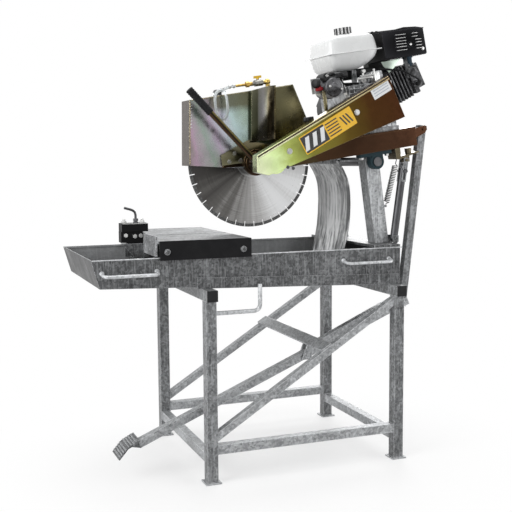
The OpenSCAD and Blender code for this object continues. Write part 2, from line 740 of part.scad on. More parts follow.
module head_beams() {
  wall = 4;
  z0 = beam_w0;
  color(bronze) head() {
    difference() {
      union() {
        block(-arm_len, beam_u1, -head_y, -head_y + beam_w, z0, z0 + beam_h);
        block(bed_u0, beam_u1, head_y - beam_w, head_y, z0, z0 + beam_h);
        block(beam_u1 - 50, beam_u1, -head_y + beam_w, head_y - beam_w, z0 + 8, z0 + beam_h - 8);
      }
      block(-arm_len + 60, beam_u1 - wall, -head_y + wall, -head_y + beam_w - wall,
        z0 + wall, z0 + beam_h - wall);
      block(bed_u0 + wall, beam_u1 - wall, head_y - beam_w + wall, head_y - wall,
        z0 + wall, z0 + beam_h - wall);
      bar_y(-arm_len, arm_rise, housing_r, -head_y - 1, -head_y + beam_w + 1);
      block(-arm_len - 1, -arm_len + 5, -head_y - 1, -head_y + beam_w + 1, z0 - 1, z0 + beam_h + 1);
      translate([lock_u, -head_y + 24, z0 + beam_h - wall - 1]) cylinder(h = wall + 2, r = 5 + run_gap);
    }
    for (s = [-1, 1]) difference() {
      y = lever_y + s * (push_w / 2 + 4.5);
      xz(y - 2.5, y + 2.5) polygon([[beam_u1, z0 + 14],
        [rod_high_u + 4, rod_high_w - 15], [rod_high_u + 15, rod_high_w - 4],
        [rod_high_u + 15, rod_high_w + 10], [rod_high_u + 4, rod_high_w + 15], [beam_u1, z0 + beam_h - 8]]);
      bar_y(rod_high_u, rod_high_w, pin_d / 2, y - 4, y + 4);
    }
    bar_y(rod_high_u, rod_high_w, pin_d / 2, lever_y - push_w / 2 - 12, lever_y + push_w / 2 + 12);
  }
}

module engine_bed() {
  color(bronze) head() difference() {
    block(bed_u0, beam_u1, -head_y, head_y, beam_w0 + beam_h, bed_top);
    block(-70, 70, -40, 120, beam_w0 + beam_h - 1, bed_top + 1);
  }
}

// Lug and shelf under the rear of the near beam, with the rubber stop on the shelf
module rear_bracket() {
  y0 = strut_y - 22;
  y1 = strut_y + 45;
  color(gold) head() {
    xz(y0, y1) polygon([[85, beam_w0], [88, -4], [96, -6], [190, 8], [190, 14], [108, 4], [108, beam_w0]]);
    bar_y(154, 18, 4, strut_y + 10, strut_y + 12);
    translate([154, strut_y, 8.9]) cylinder(h = 22, r = 13);
    for (s = [-1, 1]) difference() {
      y = strut_y + s * (strut_r - 4);
      xz(y - 3, y + 3) polygon([[124, -1], [126, -22], [148, -22], [150, 2]]);
      bar_y(strut_u, strut_w, pin_d / 2, y - 4, y + 4);
    }
    bar_y(strut_u, strut_w, pin_d / 2, strut_y - strut_r - 8, strut_y + strut_r + 8);
  }
}

// Upside-down pillow blocks under the beams
module pillow_blocks() {
  base_h = 14;
  ring_r = 29;
  color("#2c4a50") head() for (s = [-1, 1]) translate([0, s * pillow_y, 0]) difference() {
    union() {
      block(-72, 66, -pillow_w / 2, pillow_w / 2, beam_w0 - base_h, beam_w0);
      block(-ring_r, ring_r, -pillow_w / 2 + 3, pillow_w / 2 - 3, 0, beam_w0 - base_h);
      bar_y(0, 0, ring_r, -pillow_w / 2, pillow_w / 2);
    }
    bar_y(0, 0, pivot_d / 2 + run_gap, -pillow_w / 2 - 1, pillow_w / 2 + 1);
  }
}

belt_outline = [[-arm_len - 78, 41], [-arm_len - 34, 23], [111, 155], [60, 317], [-arm_len - 69, 101]];
module belt_guard() {
  color(gold) head() difference() {
    union() {
      xz(belt_y0, belt_y1) polygon(belt_outline);
      bar_y(-arm_len, arm_rise, drum_r, belt_y0 + 2, belt_y1);
    }
    xz(belt_y0 + guard_t, belt_y1 - guard_t) polygon(inset(belt_outline, guard_t));
    bar_y(-arm_len, arm_rise, drum_r - guard_t, belt_y0 + guard_t, belt_y1 - guard_t);
    bar_y(-arm_len, arm_rise, spindle_d / 2 + 3, belt_y1 - guard_t - 1, belt_y1 + 1);
    bar_y(crank_u, crank_w, 24, belt_y1 - guard_t - 1, belt_y1 + 1);
  }
}

// Dome nuts on the belt guard and bolt heads on the blade guard's bracket
module guard_fasteners() {
  color("#c9ccce") head() {
    for (p = [[-arm_len + 59, 97], [-90, 199]]) {
      bar_y(p[0], p[1], 11, belt_y0 - 1.5, belt_y0);
      bar_y(p[0], p[1], 8, belt_y0 - 7, belt_y0 - 1.5);
    }
    for (p = [[-arm_len - 104, 84], [-arm_len - 79, 112], [-arm_len - 59, 82]])
      translate([p[0], near_guard_y - 8, p[1]]) rotate([90, 0, 0]) cylinder(h = 6, r = 8, $fn = 6);
    for (s = [-1, 1]) for (u = [-58, 52]) translate([u, s * pillow_y, beam_w0 - 14])
      rotate([180, 0, 0]) cylinder(h = 8, r = 9, $fn = 6);
  }
}

// Two belts round both pulleys
belt_sec = 8;
belt_w = 11;
belt_pitch = 14;
module belt_loop(g) hull() {
  translate([crank_u, crank_w]) circle(r = pulley_d / 2 - 5 + g, $fn = 32);
  translate([-arm_len, arm_rise]) circle(r = driven_d / 2 - 5 + g, $fn = 32);
}
belt_mid = belt_y0 + guard_t + 4 + 14;
module drive_belts() {
  color(dark) head() for (s = [-1, 1]) {
    y = belt_mid + s * belt_pitch / 2;
    xz(y - belt_w / 2, y + belt_w / 2) difference() {
      belt_loop(belt_sec);
      belt_loop(0);
    }
  }
}

module pulley(r) {
  difference() {
    bar_y(0, 0, r, belt_mid - 15, belt_mid + 15);
    for (s = [-1, 1]) {
      y = belt_mid + s * belt_pitch / 2;
      difference() {
        bar_y(0, 0, r + 1, y - belt_w / 2 - 0.5, y + belt_w / 2 + 0.5);
        bar_y(0, 0, r - 5.6, y - belt_w, y + belt_w);
      }
    }
  }
}

// Housing of the spindle with the clamp plate that holds the blade guard
module spindle_housing() {
  y1 = near_guard_y - 1;
  color(bronze) head() difference() {
    union() {
      bar_y(-arm_len, arm_rise, housing_r, -head_y, y1);
      xz(near_guard_y - 8, near_guard_y) polygon([[-arm_len, 34], [-arm_len - 40, 56],
        [-arm_len - 131, 66], [-arm_len - 125, 104],
        [-arm_len - 61, 136], [-arm_len, 118], [-arm_len + 34, 90], [-arm_len + 34, 44]]);
      bar_y(-arm_len, arm_rise, housing_r + 10, near_guard_y - 22, near_guard_y - 8);
    }
    bar_y(-arm_len, arm_rise, bearing_r, -head_y - 1, near_guard_y + 1);
  }
}

module spindle_bearings() {
  color(iron) head() for (y = [-head_y + 6, near_guard_y - 8 - bearing_t]) difference() {
    bar_y(-arm_len, arm_rise, bearing_r, y, y + bearing_t);
    bar_y(-arm_len, arm_rise, spindle_d / 2 + run_gap, y - 1, y + bearing_t + 1);
  }
}

guard_out = blade_d / 2;
guard_high = arm_rise + guard_out + 19;
guard_outline = [[-arm_len - guard_out - 9, 93], [-arm_len - 57, 52], [-arm_len + guard_out + 35, 60],
  [-arm_len + guard_out - 45, guard_high + 5], [-arm_len - guard_out + 30, guard_high]];
rib = [[-arm_len + 13, 150], [-arm_len + 48, 144], [-arm_len + 77, guard_high + 2],
  [-arm_len + 41, guard_high + 2]];
rib_t = 20;
module blade_guard() {
  in = inset(guard_outline, guard_t);
  color(gold) head() {
    difference() {
      xz(near_guard_y, far_guard_y) polygon(guard_outline);
      xz(near_guard_y + guard_t, far_guard_y - guard_t)
        polygon([in[0] - [0, 6], in[1] - [0, 8], in[2] - [-2, 8], in[3], in[4]]);
      bar_y(-arm_len, arm_rise, bearing_r + 4, near_guard_y - 1, near_guard_y + guard_t + 1);
      block(-arm_len - bearing_r - 4, -arm_len + bearing_r + 4,
        near_guard_y - 1, near_guard_y + guard_t + 1, 0, arm_rise);
    }
    difference() {
      xz(near_guard_y - rib_t, near_guard_y) polygon(rib);
      xz(near_guard_y - rib_t + guard_t, near_guard_y + 1) polygon(inset(rib, guard_t));
    }
  }
}

lock_u = -258;
module lock_knob() {
  color(dark) head() translate([lock_u, -head_y + 24, beam_w0 + beam_h]) {
    translate([0, 0, -12]) cylinder(h = 104, r = 5);
    translate([0, 0, 88]) cylinder(h = 16, r = 22);
  }
}

handle_u = -arm_len - 46;
handle_w = 108;
handle_d = 22;
handle_y = -150;
handle_dir = [-0.593, 0.805];
function on_handle(t) = [handle_u + handle_dir[0] * t, handle_y, handle_w + handle_dir[1] * t];
module operating_handle() {
  color(gold) head() difference() {
    rod(on_handle(-30), on_handle(318), handle_d / 2);
    bar_y(-arm_len, arm_rise, housing_r, -head_y, near_guard_y - 1);
  }
}

module handle_grip() {
  color(dark) head() difference() {
    rod(on_handle(208), on_handle(326), handle_d / 2 + 3.5);
    rod(on_handle(200), on_handle(318), handle_d / 2);
  }
}

// Brass ball valve on the guard's top with its elbow and the tee for the hoses
valve_u = -arm_len + 103;
valve_up = 23;
guard_top = guard_outline[3][1];
valve_w = guard_top + valve_up;
valve_y = near_guard_y - 8 + 14;
module water_valve() {
  color("#b89b55") head() {
    translate([valve_u, valve_y, guard_top]) cylinder(h = valve_up, r = 9);
    translate([valve_u, valve_y, valve_w]) sphere(r = 12);
    translate([valve_u - 90, valve_y, valve_w]) rotate([0, 90, 0]) cylinder(h = 90, r = 8);
    translate([valve_u - 54, valve_y, valve_w]) rotate([0, 90, 0]) cylinder(h = 32, r = 12);
    translate([valve_u - 90, valve_y, valve_w]) rotate([0, 90, 0]) cylinder(h = 14, r = 11, $fn = 6);
    translate([valve_u - 132, valve_y, valve_w]) rotate([0, 90, 0]) cylinder(h = 42, r = 5);
    translate([valve_u - 38, valve_y, valve_w]) cylinder(h = 14, r = 6);
  }
}

module tap_knob() {
  color("#e2b81f") head() translate([valve_u - 38, valve_y, valve_w + 14.3]) {
    cylinder(h = 8, r = 6);
    translate([-15, -4, 4]) cube([30, 8, 9]);
  }
}

// Clear hoses from the valve to both faces of the blade guard
hose_r = 5;
tee_u = -arm_len - 83;
tee_up = 19;
tee_w = guard_outline[4][1] + tee_up;
module water_hoses() {
  half = guard_w / 2 + 7;
  color("#d5dcdc") head() {
    sweep([[valve_u - 132, valve_y, valve_w], [valve_u - 144, valve_y, valve_w],
      [valve_u - 156, valve_y, valve_w - 1], [valve_u - 170, valve_y, valve_w - 5],
      [tee_u, valve_y, tee_w]], hose_r, 8);
    translate([tee_u, blade_y, tee_w]) rotate([90, 0, 0]) translate([0, 0, -46])
      cylinder(h = 92, r = 7, $fn = 24);
    for (s = [-1, 1]) translate([tee_u, blade_y, 0]) sweep([for (q = [[40, 0], [46, 0], [54, -3], [59, -11],
      [60, -23], [59, -43], [58, -63], [58, -83], [58, -95], [56, -104], [54, -107], [50, -107]])
      [q[1] * 0.04, s * q[0] * half / 57, tee_w + q[1]]], hose_r, 8);
  }
}

// Spindle

module spindle_shaft() {
  color("#8f9497") head() {
    bar_y(-arm_len, arm_rise, spindle_d / 2, belt_mid - 18, near_guard_y + 2);
    bar_y(-arm_len, arm_rise, bore_d / 2, near_guard_y + 2, blade_y + core_t / 2 + flange_t + 22);
  }
}

module blade_core() {
  r = blade_d / 2 - segment_h;
  color("#8c8d8e") head() translate([-arm_len, blade_y, arm_rise]) difference() {
    bar_y(0, 0, r, -core_t / 2, core_t / 2);
    bar_y(0, 0, bore_d / 2, -core_t, core_t);
    for (i = [0 : segment_count - 1]) rotate([0, i * 360 / segment_count, 0])
      translate([-segment_gap / 2, -core_t, r - 9]) cube([segment_gap, 2 * core_t, 20]);
  }
}

module blade_segments() {
  r = blade_d / 2;
  color("#565759") head() translate([-arm_len, blade_y, arm_rise]) difference() {
    bar_y(0, 0, r, -segment_t / 2, segment_t / 2);
    bar_y(0, 0, r - segment_h, -segment_t, segment_t);
    for (i = [0 : segment_count - 1]) rotate([0, i * 360 / segment_count, 0])
      translate([-segment_gap / 2, -segment_t, r - segment_h - 5]) cube([segment_gap, 2 * segment_t, 30]);
  }
}

module blade_flanges() {
  color(iron) head() translate([-arm_len, blade_y, arm_rise]) {
    for (s = [0, 1]) mirror([0, s, 0]) difference() {
      union() {
        bar_y(0, 0, flange_r, core_t / 2, core_t / 2 + flange_t - 3);
        bar_y(0, 0, flange_r - 14, core_t / 2 + flange_t - 3, core_t / 2 + flange_t);
      }
      bar_y(0, 0, bore_d / 2, -1, core_t + flange_t);
    }
    translate([0, core_t / 2 + flange_t, 0]) rotate([-90, 0, 0]) difference() {
      cylinder(h = 16, r = 21, $fn = 6);
      translate([0, 0, -1]) cylinder(h = 18, r = bore_d / 2);
    }
    difference() {
      bar_y(0, 0, spindle_d / 2 + 4, near_guard_y + 2 - blade_y, -core_t / 2 - flange_t);
      bar_y(0, 0, bore_d / 2, near_guard_y - blade_y, 0);
    }
  }
}

module driven_pulley() {
  color(iron) head() translate([-arm_len, 0, arm_rise]) difference() {
    pulley(driven_d / 2);
    bar_y(0, 0, spindle_d / 2, belt_mid - 20, belt_mid + 20);
  }
}

// Engine

shaft_r = 12.7;
engine_y0 = -228;
case_u0 = crank_u - 98;
case_u1 = crank_u + 90;
case_y0 = -200;
case_y1 = 60;
starter = [-124, 301];
module engine_pulley() {
  color(iron) head() translate([crank_u, 0, crank_w]) {
    difference() {
      pulley(pulley_d / 2);
      bar_y(0, 0, shaft_r, belt_mid - 20, belt_mid + 20);
    }
  }
}

// Crankshaft with its webs, from the pulley to the starter
module crankshaft() {
  y1 = case_y1 - 4;
  color("#8f9497") head() translate([crank_u, 0, crank_w]) {
    bar_y(0, 0, shaft_r, belt_mid - 16, y1);
    for (y = [barrel_y - 30, barrel_y + 14]) bar_y(0, 0, 46, y, y + 16);
  }
}

// Casting with its drive cover, feet, electric starter, oil filler and tank posts
module crankcase() {
  y0 = engine_y0;
  foot_h = 14;
  color("#777b7c") head() difference() {
    union() {
      block(case_u0, case_u1, case_y0, case_y1, bed_top + foot_h, crank_w + 84);
      for (y = [case_y0 + 8, case_y1 - 52])
        block(crank_u - 112, crank_u + 104, y, y + 44, bed_top, bed_top + foot_h);
      bar_y(crank_u, crank_w, 82, y0 + 12, case_y0 + 1);
      bar_y(crank_u, crank_w, 34, y0, y0 + 13);
      for (a = [20 : 40 : 360]) rotate_at(crank_u, crank_w, a) bar_y(76, 0, 8, y0 + 8, y0 + 14);
      bar_y(starter[0], starter[1], 37, case_y0 - 6, case_y0 + 96);
      block(starter[0], case_u0 + 1, case_y0 + 14, case_y0 + 80, starter[1] - 24, crank_w + 80);
      block(switch_u - 16, starter[0] - 30, switch_y, switch_y + 26, switch_w - 27, switch_w + 30);
      bar_y(case_u0 - 5, crank_w - 6, 7, case_y0 + 6, case_y0 + 20);
      translate([case_u0 - 5, case_y0 + 13, crank_w - 6]) cylinder(h = 34, r = 6);
      for (u = [tank_u0 + 34, tank_u0 + 104]) for (y = [case_y0 + 76, case_y1 - 36])
        block(u, u + 16, y, y + 16, crank_w + 60, tank_w0 + 0.2);
      block(crank_u - 50, crank_u - 10, case_y0 + 2, case_y0 + 8, crank_w + 80, crank_w + 112);
      bar_y(crank_u - 30, crank_w + 98, 3, case_y0 - 6, case_y0 + 3);
      block(tank_u0 + 34, case_u1 - 4, case_y0 + 76, case_y1 - 4, crank_w + 70, crank_w + 84);
      translate([crank_u, 0, crank_w]) rotate([0, -cylinder_tilt, 0]) block(60, 101, -132, 12, -60, 64);
    }
    bar_y(crank_u, crank_w, shaft_r + run_gap, y0 - 1, case_y1 - 2);
    block(case_u0 + 10, case_u1 - 10, case_y0 + 12, case_y1 - 12, bed_top - 1, crank_w + 58);
    bar_y(switch_u, switch_w, 8 + run_gap, switch_y - 1, switch_y + 9);
    translate([crank_u, 0, crank_w]) rotate([0, -cylinder_tilt, 0])
      block(100, 200, barrel_y - 73, barrel_y + 73, -64, 90);
  }
}
module rotate_at(u, w, a) translate([u, 0, w]) rotate([0, a, 0]) children();

// Finned barrel and head, rocker cover, plug cap and the exhaust pipe
barrel_y = -60;
pipe_u = 262;
pipe_y = -110;
module engine_cylinder() {
  fin_pitch = 15;
  y = barrel_y;
  color(iron) head() {
    translate([crank_u, 0, crank_w]) rotate([0, -cylinder_tilt, 0]) {
      block(100, 252, y - 50, y + 50, -42, 46);
      for (i = [0 : fin_count - 1]) {
        x = 108 + i * fin_pitch;
        block(x, x + 4.5, y - 72, y + 72, -62, 66);
      }
      block(234, 252, y - 72, y + 72, -60, 62);
      block(252, cover_x1, y - 56, y + 56, cover_z0, 50);
      bar_y(cover_x1 - 6, 2, 12, y - 40, y + 40);
      bar_y(244, -20, 11, y - 96, y - 50);
    }
    translate([pipe_u, pipe_y, 322]) cylinder(h = muffler_w + bed_top - 321, r = 15);
    bar_y(pipe_u, 322, 18, -134, -90);
  }
}

tank_u0 = -102;
tank_w0 = bed_top + 250;
tank_y0 = -156;
module tank_ring(r, d, z, fall_u) {
  for (x = [r + d, tank_len - r - d]) for (y = [r + d, tank_w - r - d])
    translate([x, y, z + (x > tank_len / 2 ? fall_u : 0)]) sphere(r = r, $fn = 24);
}
module fuel_tank() {
  r = 24;
  seam = 66;
  color("#e4e5e4") head() translate([tank_u0, tank_y0, tank_w0]) {
    hull() {
      for (x = [r + 10, tank_len - r - 84]) for (y = [r + 4, tank_w - r - 4])
        translate([x, y, r]) sphere(r = r, $fn = 24);
      tank_ring(r, 0, seam - 8, 6);
    }
    hull() {
      tank_ring(r, 0, seam + 6, 4);
      tank_ring(r, 9, tank_h - r - 16, -8);
      tank_ring(r, 42, tank_h - r, -4);
    }
    hull() for (x = [14, tank_len - 12]) for (y = [14, tank_w - 14])
      translate([x, y, seam - 2 + x * 0.02]) cylinder(h = 5, r = 20, $fn = 32);
    translate([126, tank_w / 2, tank_h - 8]) cylinder(h = 13, r = 26);
  }
}

module fuel_cap() {
  color("#b9bcbd") head()
    translate([tank_u0 + 126, tank_y0 + tank_w / 2, tank_w0 + tank_h + 5.3]) difference() {
    cylinder(h = 24, r = 35);
    for (i = [0 : 11]) rotate([0, 0, i * 30]) translate([37, 0, 3]) cylinder(h = 30, r = 4, $fn = 16);
  }
}

// Silencer box inside a louvred shield
muffler_y = [-150, 0];
module muffler() {
  u0 = 138;
  u1 = muffler_u;
  z0 = muffler_w + bed_top;
  z1 = z0 + 104;
  y0 = muffler_y[0];
  y1 = muffler_y[1];
  t = 2;
  color("#18191a") head() difference() {
    union() {
      difference() {
        xz(y0, y1) polygon([[u0 + 2, z0 - 4], [u1, z0], [u1 - 3, z1 - 2], [u0, z1]]);
        xz(y0 + t, y1 + 1) polygon([[u0 + t + 2, z0 - 4 + t], [u1 - t, z0 + t],
          [u1 - 3 - t, z1 - 2 - t], [u0 + t, z1 - t]]);
      }
      difference() {
        block(u0 + 10, u1 - 12, y0 + t, y1 - 4, z0 + 8, z1 - 10);
        block(u0 + 13, u1 - 15, y0 + t + 3, y1 + 1, z0 + 11, z1 - 13);
      }
      bar_y(258, z0 + 44, 5, y0 - 4, y0 + t);
    }
    for (c = [[204, 40], [268, 36]]) for (i = [0 : 6])
      block(c[0], c[0] + c[1], y0 - 1, y0 + t, z0 + 28 + i * 9, z0 + 32 + i * 9);
    translate([pipe_u, pipe_y, z0 - 5]) cylinder(h = 14, r = 15);
  }
}

module air_cleaner() {
  color(dark) head() {
    block(166, 300, 14, 146, 388, 494);
    block(158, 308, 8, 152, 494, 506);
    block(150, 250, 12, 56, 296, 388);
  }
}

// Fan housing and rope starter on the far side, with the pull grip
module recoil_starter() {
  fan_r = 90;
  color("#2a2b2d") head() {
    difference() {
      union() {
        bar_y(crank_u, crank_w, fan_r, case_y1, case_y1 + 68);
        bar_y(crank_u, crank_w, 76, case_y1 + 68, case_y1 + 88);
      }
      for (i = [0 : 11]) rotate_at(crank_u, crank_w, i * 30) bar_y(60, 0, 9, case_y1 + 80, case_y1 + 90);
    }
    block(crank_u, crank_u + 150, case_y1, case_y1 + 24, crank_w - 10, crank_w + 96);
    rotate_at(crank_u, crank_w, 210) block(70, 84, case_y1 + 66, case_y1 + 84, -20, 20);
  }
}

switch_u = -178;
switch_w = 316;
switch_y = -176;
module stop_switch() {
  color("#b3222c") head() {
    bar_y(switch_u, switch_w, 8, switch_y - 9, switch_y + 3);
  }
}

// Speed lever on the control plate above the crankcase
module throttle_lever() {
  color("#b9bcbd") head() translate([crank_u - 30, case_y0 - 2.3, crank_w + 98]) difference() {
    union() {
      rotate([-90, 0, 0]) cylinder(h = 4, r = 10);
      translate([-4, 0, 0]) cube([8, 4, 34]);
      translate([0, -10, 34]) rotate([-90, 0, 0]) cylinder(h = 14, r = 7);
    }
    bar_y(0, 0, 3 + run_gap, -1, 5);
  }
}

stand_legs();
foot_plates();
lower_rails();
top_cross_tubes();
tube_end_caps();
diagonal_braces();
brace_cross_plate();
side_angle_rails();
water_tray();
tray_handles();
post_base();
pivot_posts();
pivot_shaft();
splash_curtain();
pedal_lever();
pedal_plate();
push_rod();
strut_tube();
strut_fork();
return_spring();
cart_table();
cart_aprons();
cart_frame();
cart_fence();
cart_wheels_left();
cart_wheels_right();
stop_block();
stop_screw();
head_beams();
engine_bed();
rear_bracket();
pillow_blocks();
belt_guard();
guard_fasteners();
drive_belts();
spindle_housing();
spindle_bearings();
blade_guard();
lock_knob();
operating_handle();
handle_grip();
water_valve();
tap_knob();
water_hoses();
spindle_shaft();
blade_core();
blade_segments();
blade_flanges();
driven_pulley();
engine_pulley();
crankshaft();
crankcase();
engine_cylinder();
fuel_tank();
fuel_cap();
muffler();
air_cleaner();
recoil_starter();
stop_switch();
throttle_lever();
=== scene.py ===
"""Looks of a petrol block saw: finishes for its steel, zinc, rubber and cast parts, and the pieces
that are too soft, thin or small for the plain solids."""

import json
import math

import bmesh
import bpy
from mathutils import Matrix, Vector


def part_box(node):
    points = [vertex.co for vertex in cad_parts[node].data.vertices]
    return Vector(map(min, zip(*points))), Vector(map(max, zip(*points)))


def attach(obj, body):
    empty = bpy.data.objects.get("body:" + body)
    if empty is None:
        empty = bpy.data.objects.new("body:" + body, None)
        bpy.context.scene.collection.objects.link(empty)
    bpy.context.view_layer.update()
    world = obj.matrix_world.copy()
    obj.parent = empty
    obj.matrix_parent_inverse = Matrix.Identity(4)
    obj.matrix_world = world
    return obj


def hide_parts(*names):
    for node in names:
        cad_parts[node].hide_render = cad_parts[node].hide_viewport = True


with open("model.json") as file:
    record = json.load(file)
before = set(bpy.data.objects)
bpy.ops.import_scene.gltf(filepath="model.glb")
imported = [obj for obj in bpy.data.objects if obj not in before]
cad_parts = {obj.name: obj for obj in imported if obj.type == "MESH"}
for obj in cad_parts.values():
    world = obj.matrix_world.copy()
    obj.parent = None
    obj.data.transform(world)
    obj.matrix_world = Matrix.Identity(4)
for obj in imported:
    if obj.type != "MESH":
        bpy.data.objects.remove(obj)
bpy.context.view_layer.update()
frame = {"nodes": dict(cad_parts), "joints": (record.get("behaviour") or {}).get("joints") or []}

bl_info = {
    "name": "Block Saw Looks",
    "version": (1, 0, 0),
    "blender": (4, 5, 0),
    "location": "3D Viewport > Sidebar > Block Saw",
    "description": "Finishes and fine pieces of a petrol block saw",
    "category": "Object",
}

JOINTS = {joint["name"]: joint for joint in frame["joints"]}
MM = 0.001


def mm(x, y, z):
    """A point in metres from millimetres."""
    return Vector((x, y, z)) * MM


# The head's own axes at rest: u towards the engine, w up from the pivot
PIVOT = Vector(JOINTS["head_tilt"]["pos_m"])
HEAD_TILT = math.asin(-JOINTS["tap_turn"]["axis"][0])
HEAD = Matrix.Translation(PIVOT) @ Matrix.Rotation(-HEAD_TILT, 4, "Y")
BLADE_Y = sum(corner.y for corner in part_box("blade_core")) / 2
BLADE_CENTRE = Vector(JOINTS["blade_spin"]["pos_m"])
BLADE_CENTRE.y = BLADE_Y
GUARD_FACE_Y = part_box("belt_guard")[0].y

# The stand's own x: the camera and the pieces on the stand were placed with the pivot shaft at 0.333
STAND_SHIFT = (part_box("pivot_shaft")[0].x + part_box("pivot_shaft")[1].x) / 2 - 0.333


def length(name, about, default):
    return bpy.props.FloatProperty(name=name, description=about, default=default, unit="LENGTH")


def paint(name, about, default):
    return bpy.props.FloatVectorProperty(name=name, description=about, default=default, subtype="COLOR")


class SawSizes(bpy.types.PropertyGroup):
    label_length: length("Label length", "Length of the label on the belt guard", 0.238)
    label_width: length("Label width", "Width of the label on the belt guard", 0.071)
    plate_length: length("Plate length", "Length of the blank plate on the belt guard", 0.084)
    plate_width: length("Plate width", "Width of the blank plate on the belt guard", 0.043)
    weld_radius: length("Weld radius", "Radius of a weld bead", 0.0028)
    tread_pitch: length("Tread pitch", "Distance between the pedal's ridges", 0.0105)
    hose_radius: length("Hose radius", "Outer radius of the clear hoses", 0.0055)
    rod_radius: length("Handle rod radius", "Radius of the tray's carrying handles", 0.006)


class SawColours(bpy.types.PropertyGroup):
    zinc: paint("Galvanised steel", "Mean colour of the galvanised steel", (0.20, 0.205, 0.21))
    tank: paint("Tank", "Paint of the fuel tank", (0.78, 0.79, 0.79))
    rubber: paint("Rubber", "Clean black rubber", (0.010, 0.010, 0.011))
    label: paint("Label", "Yellow of the label", (0.86, 0.50, 0.02))
    bearing: paint("Pillow blocks", "Paint of the pillow blocks", (0.020, 0.040, 0.048))


# Shader graphs


def opaque(colour):
    """A colour's three parts with full opacity. A socket stays as it is."""
    return (*colour, 1.0) if isinstance(colour, tuple) else colour


def shade(colour, factor):
    """A lighter or darker colour, with no part over 1."""
    return tuple(min(1.0, part * factor) for part in colour)


def feed(tree, node, sockets):
    """Give the node's input sockets plain values or links from other sockets."""
    for key, value in sockets.items():
        if isinstance(value, bpy.types.NodeSocket):
            tree.links.new(value, node.inputs[key])
        else:
            node.inputs[key].default_value = value


def new_node(tree, kind, sockets=None, **values):
    node = tree.nodes.new(kind)
    for key, value in values.items():
        setattr(node, key, value)
    feed(tree, node, sockets or {})
    return node


def direct_rays(tree):
    """1 for rays from the eye, straight or off glossy and clear surfaces, 0 for light on its way."""
    path = new_node(tree, "ShaderNodeLightPath").outputs
    seen = path["Is Camera Ray"]
    for name in ("Is Glossy Ray", "Is Transmission Ray"):
        larger = new_node(tree, "ShaderNodeMath", {0: seen, 1: path[name]}, operation="MAXIMUM")
        seen = larger.outputs["Value"]
    return seen


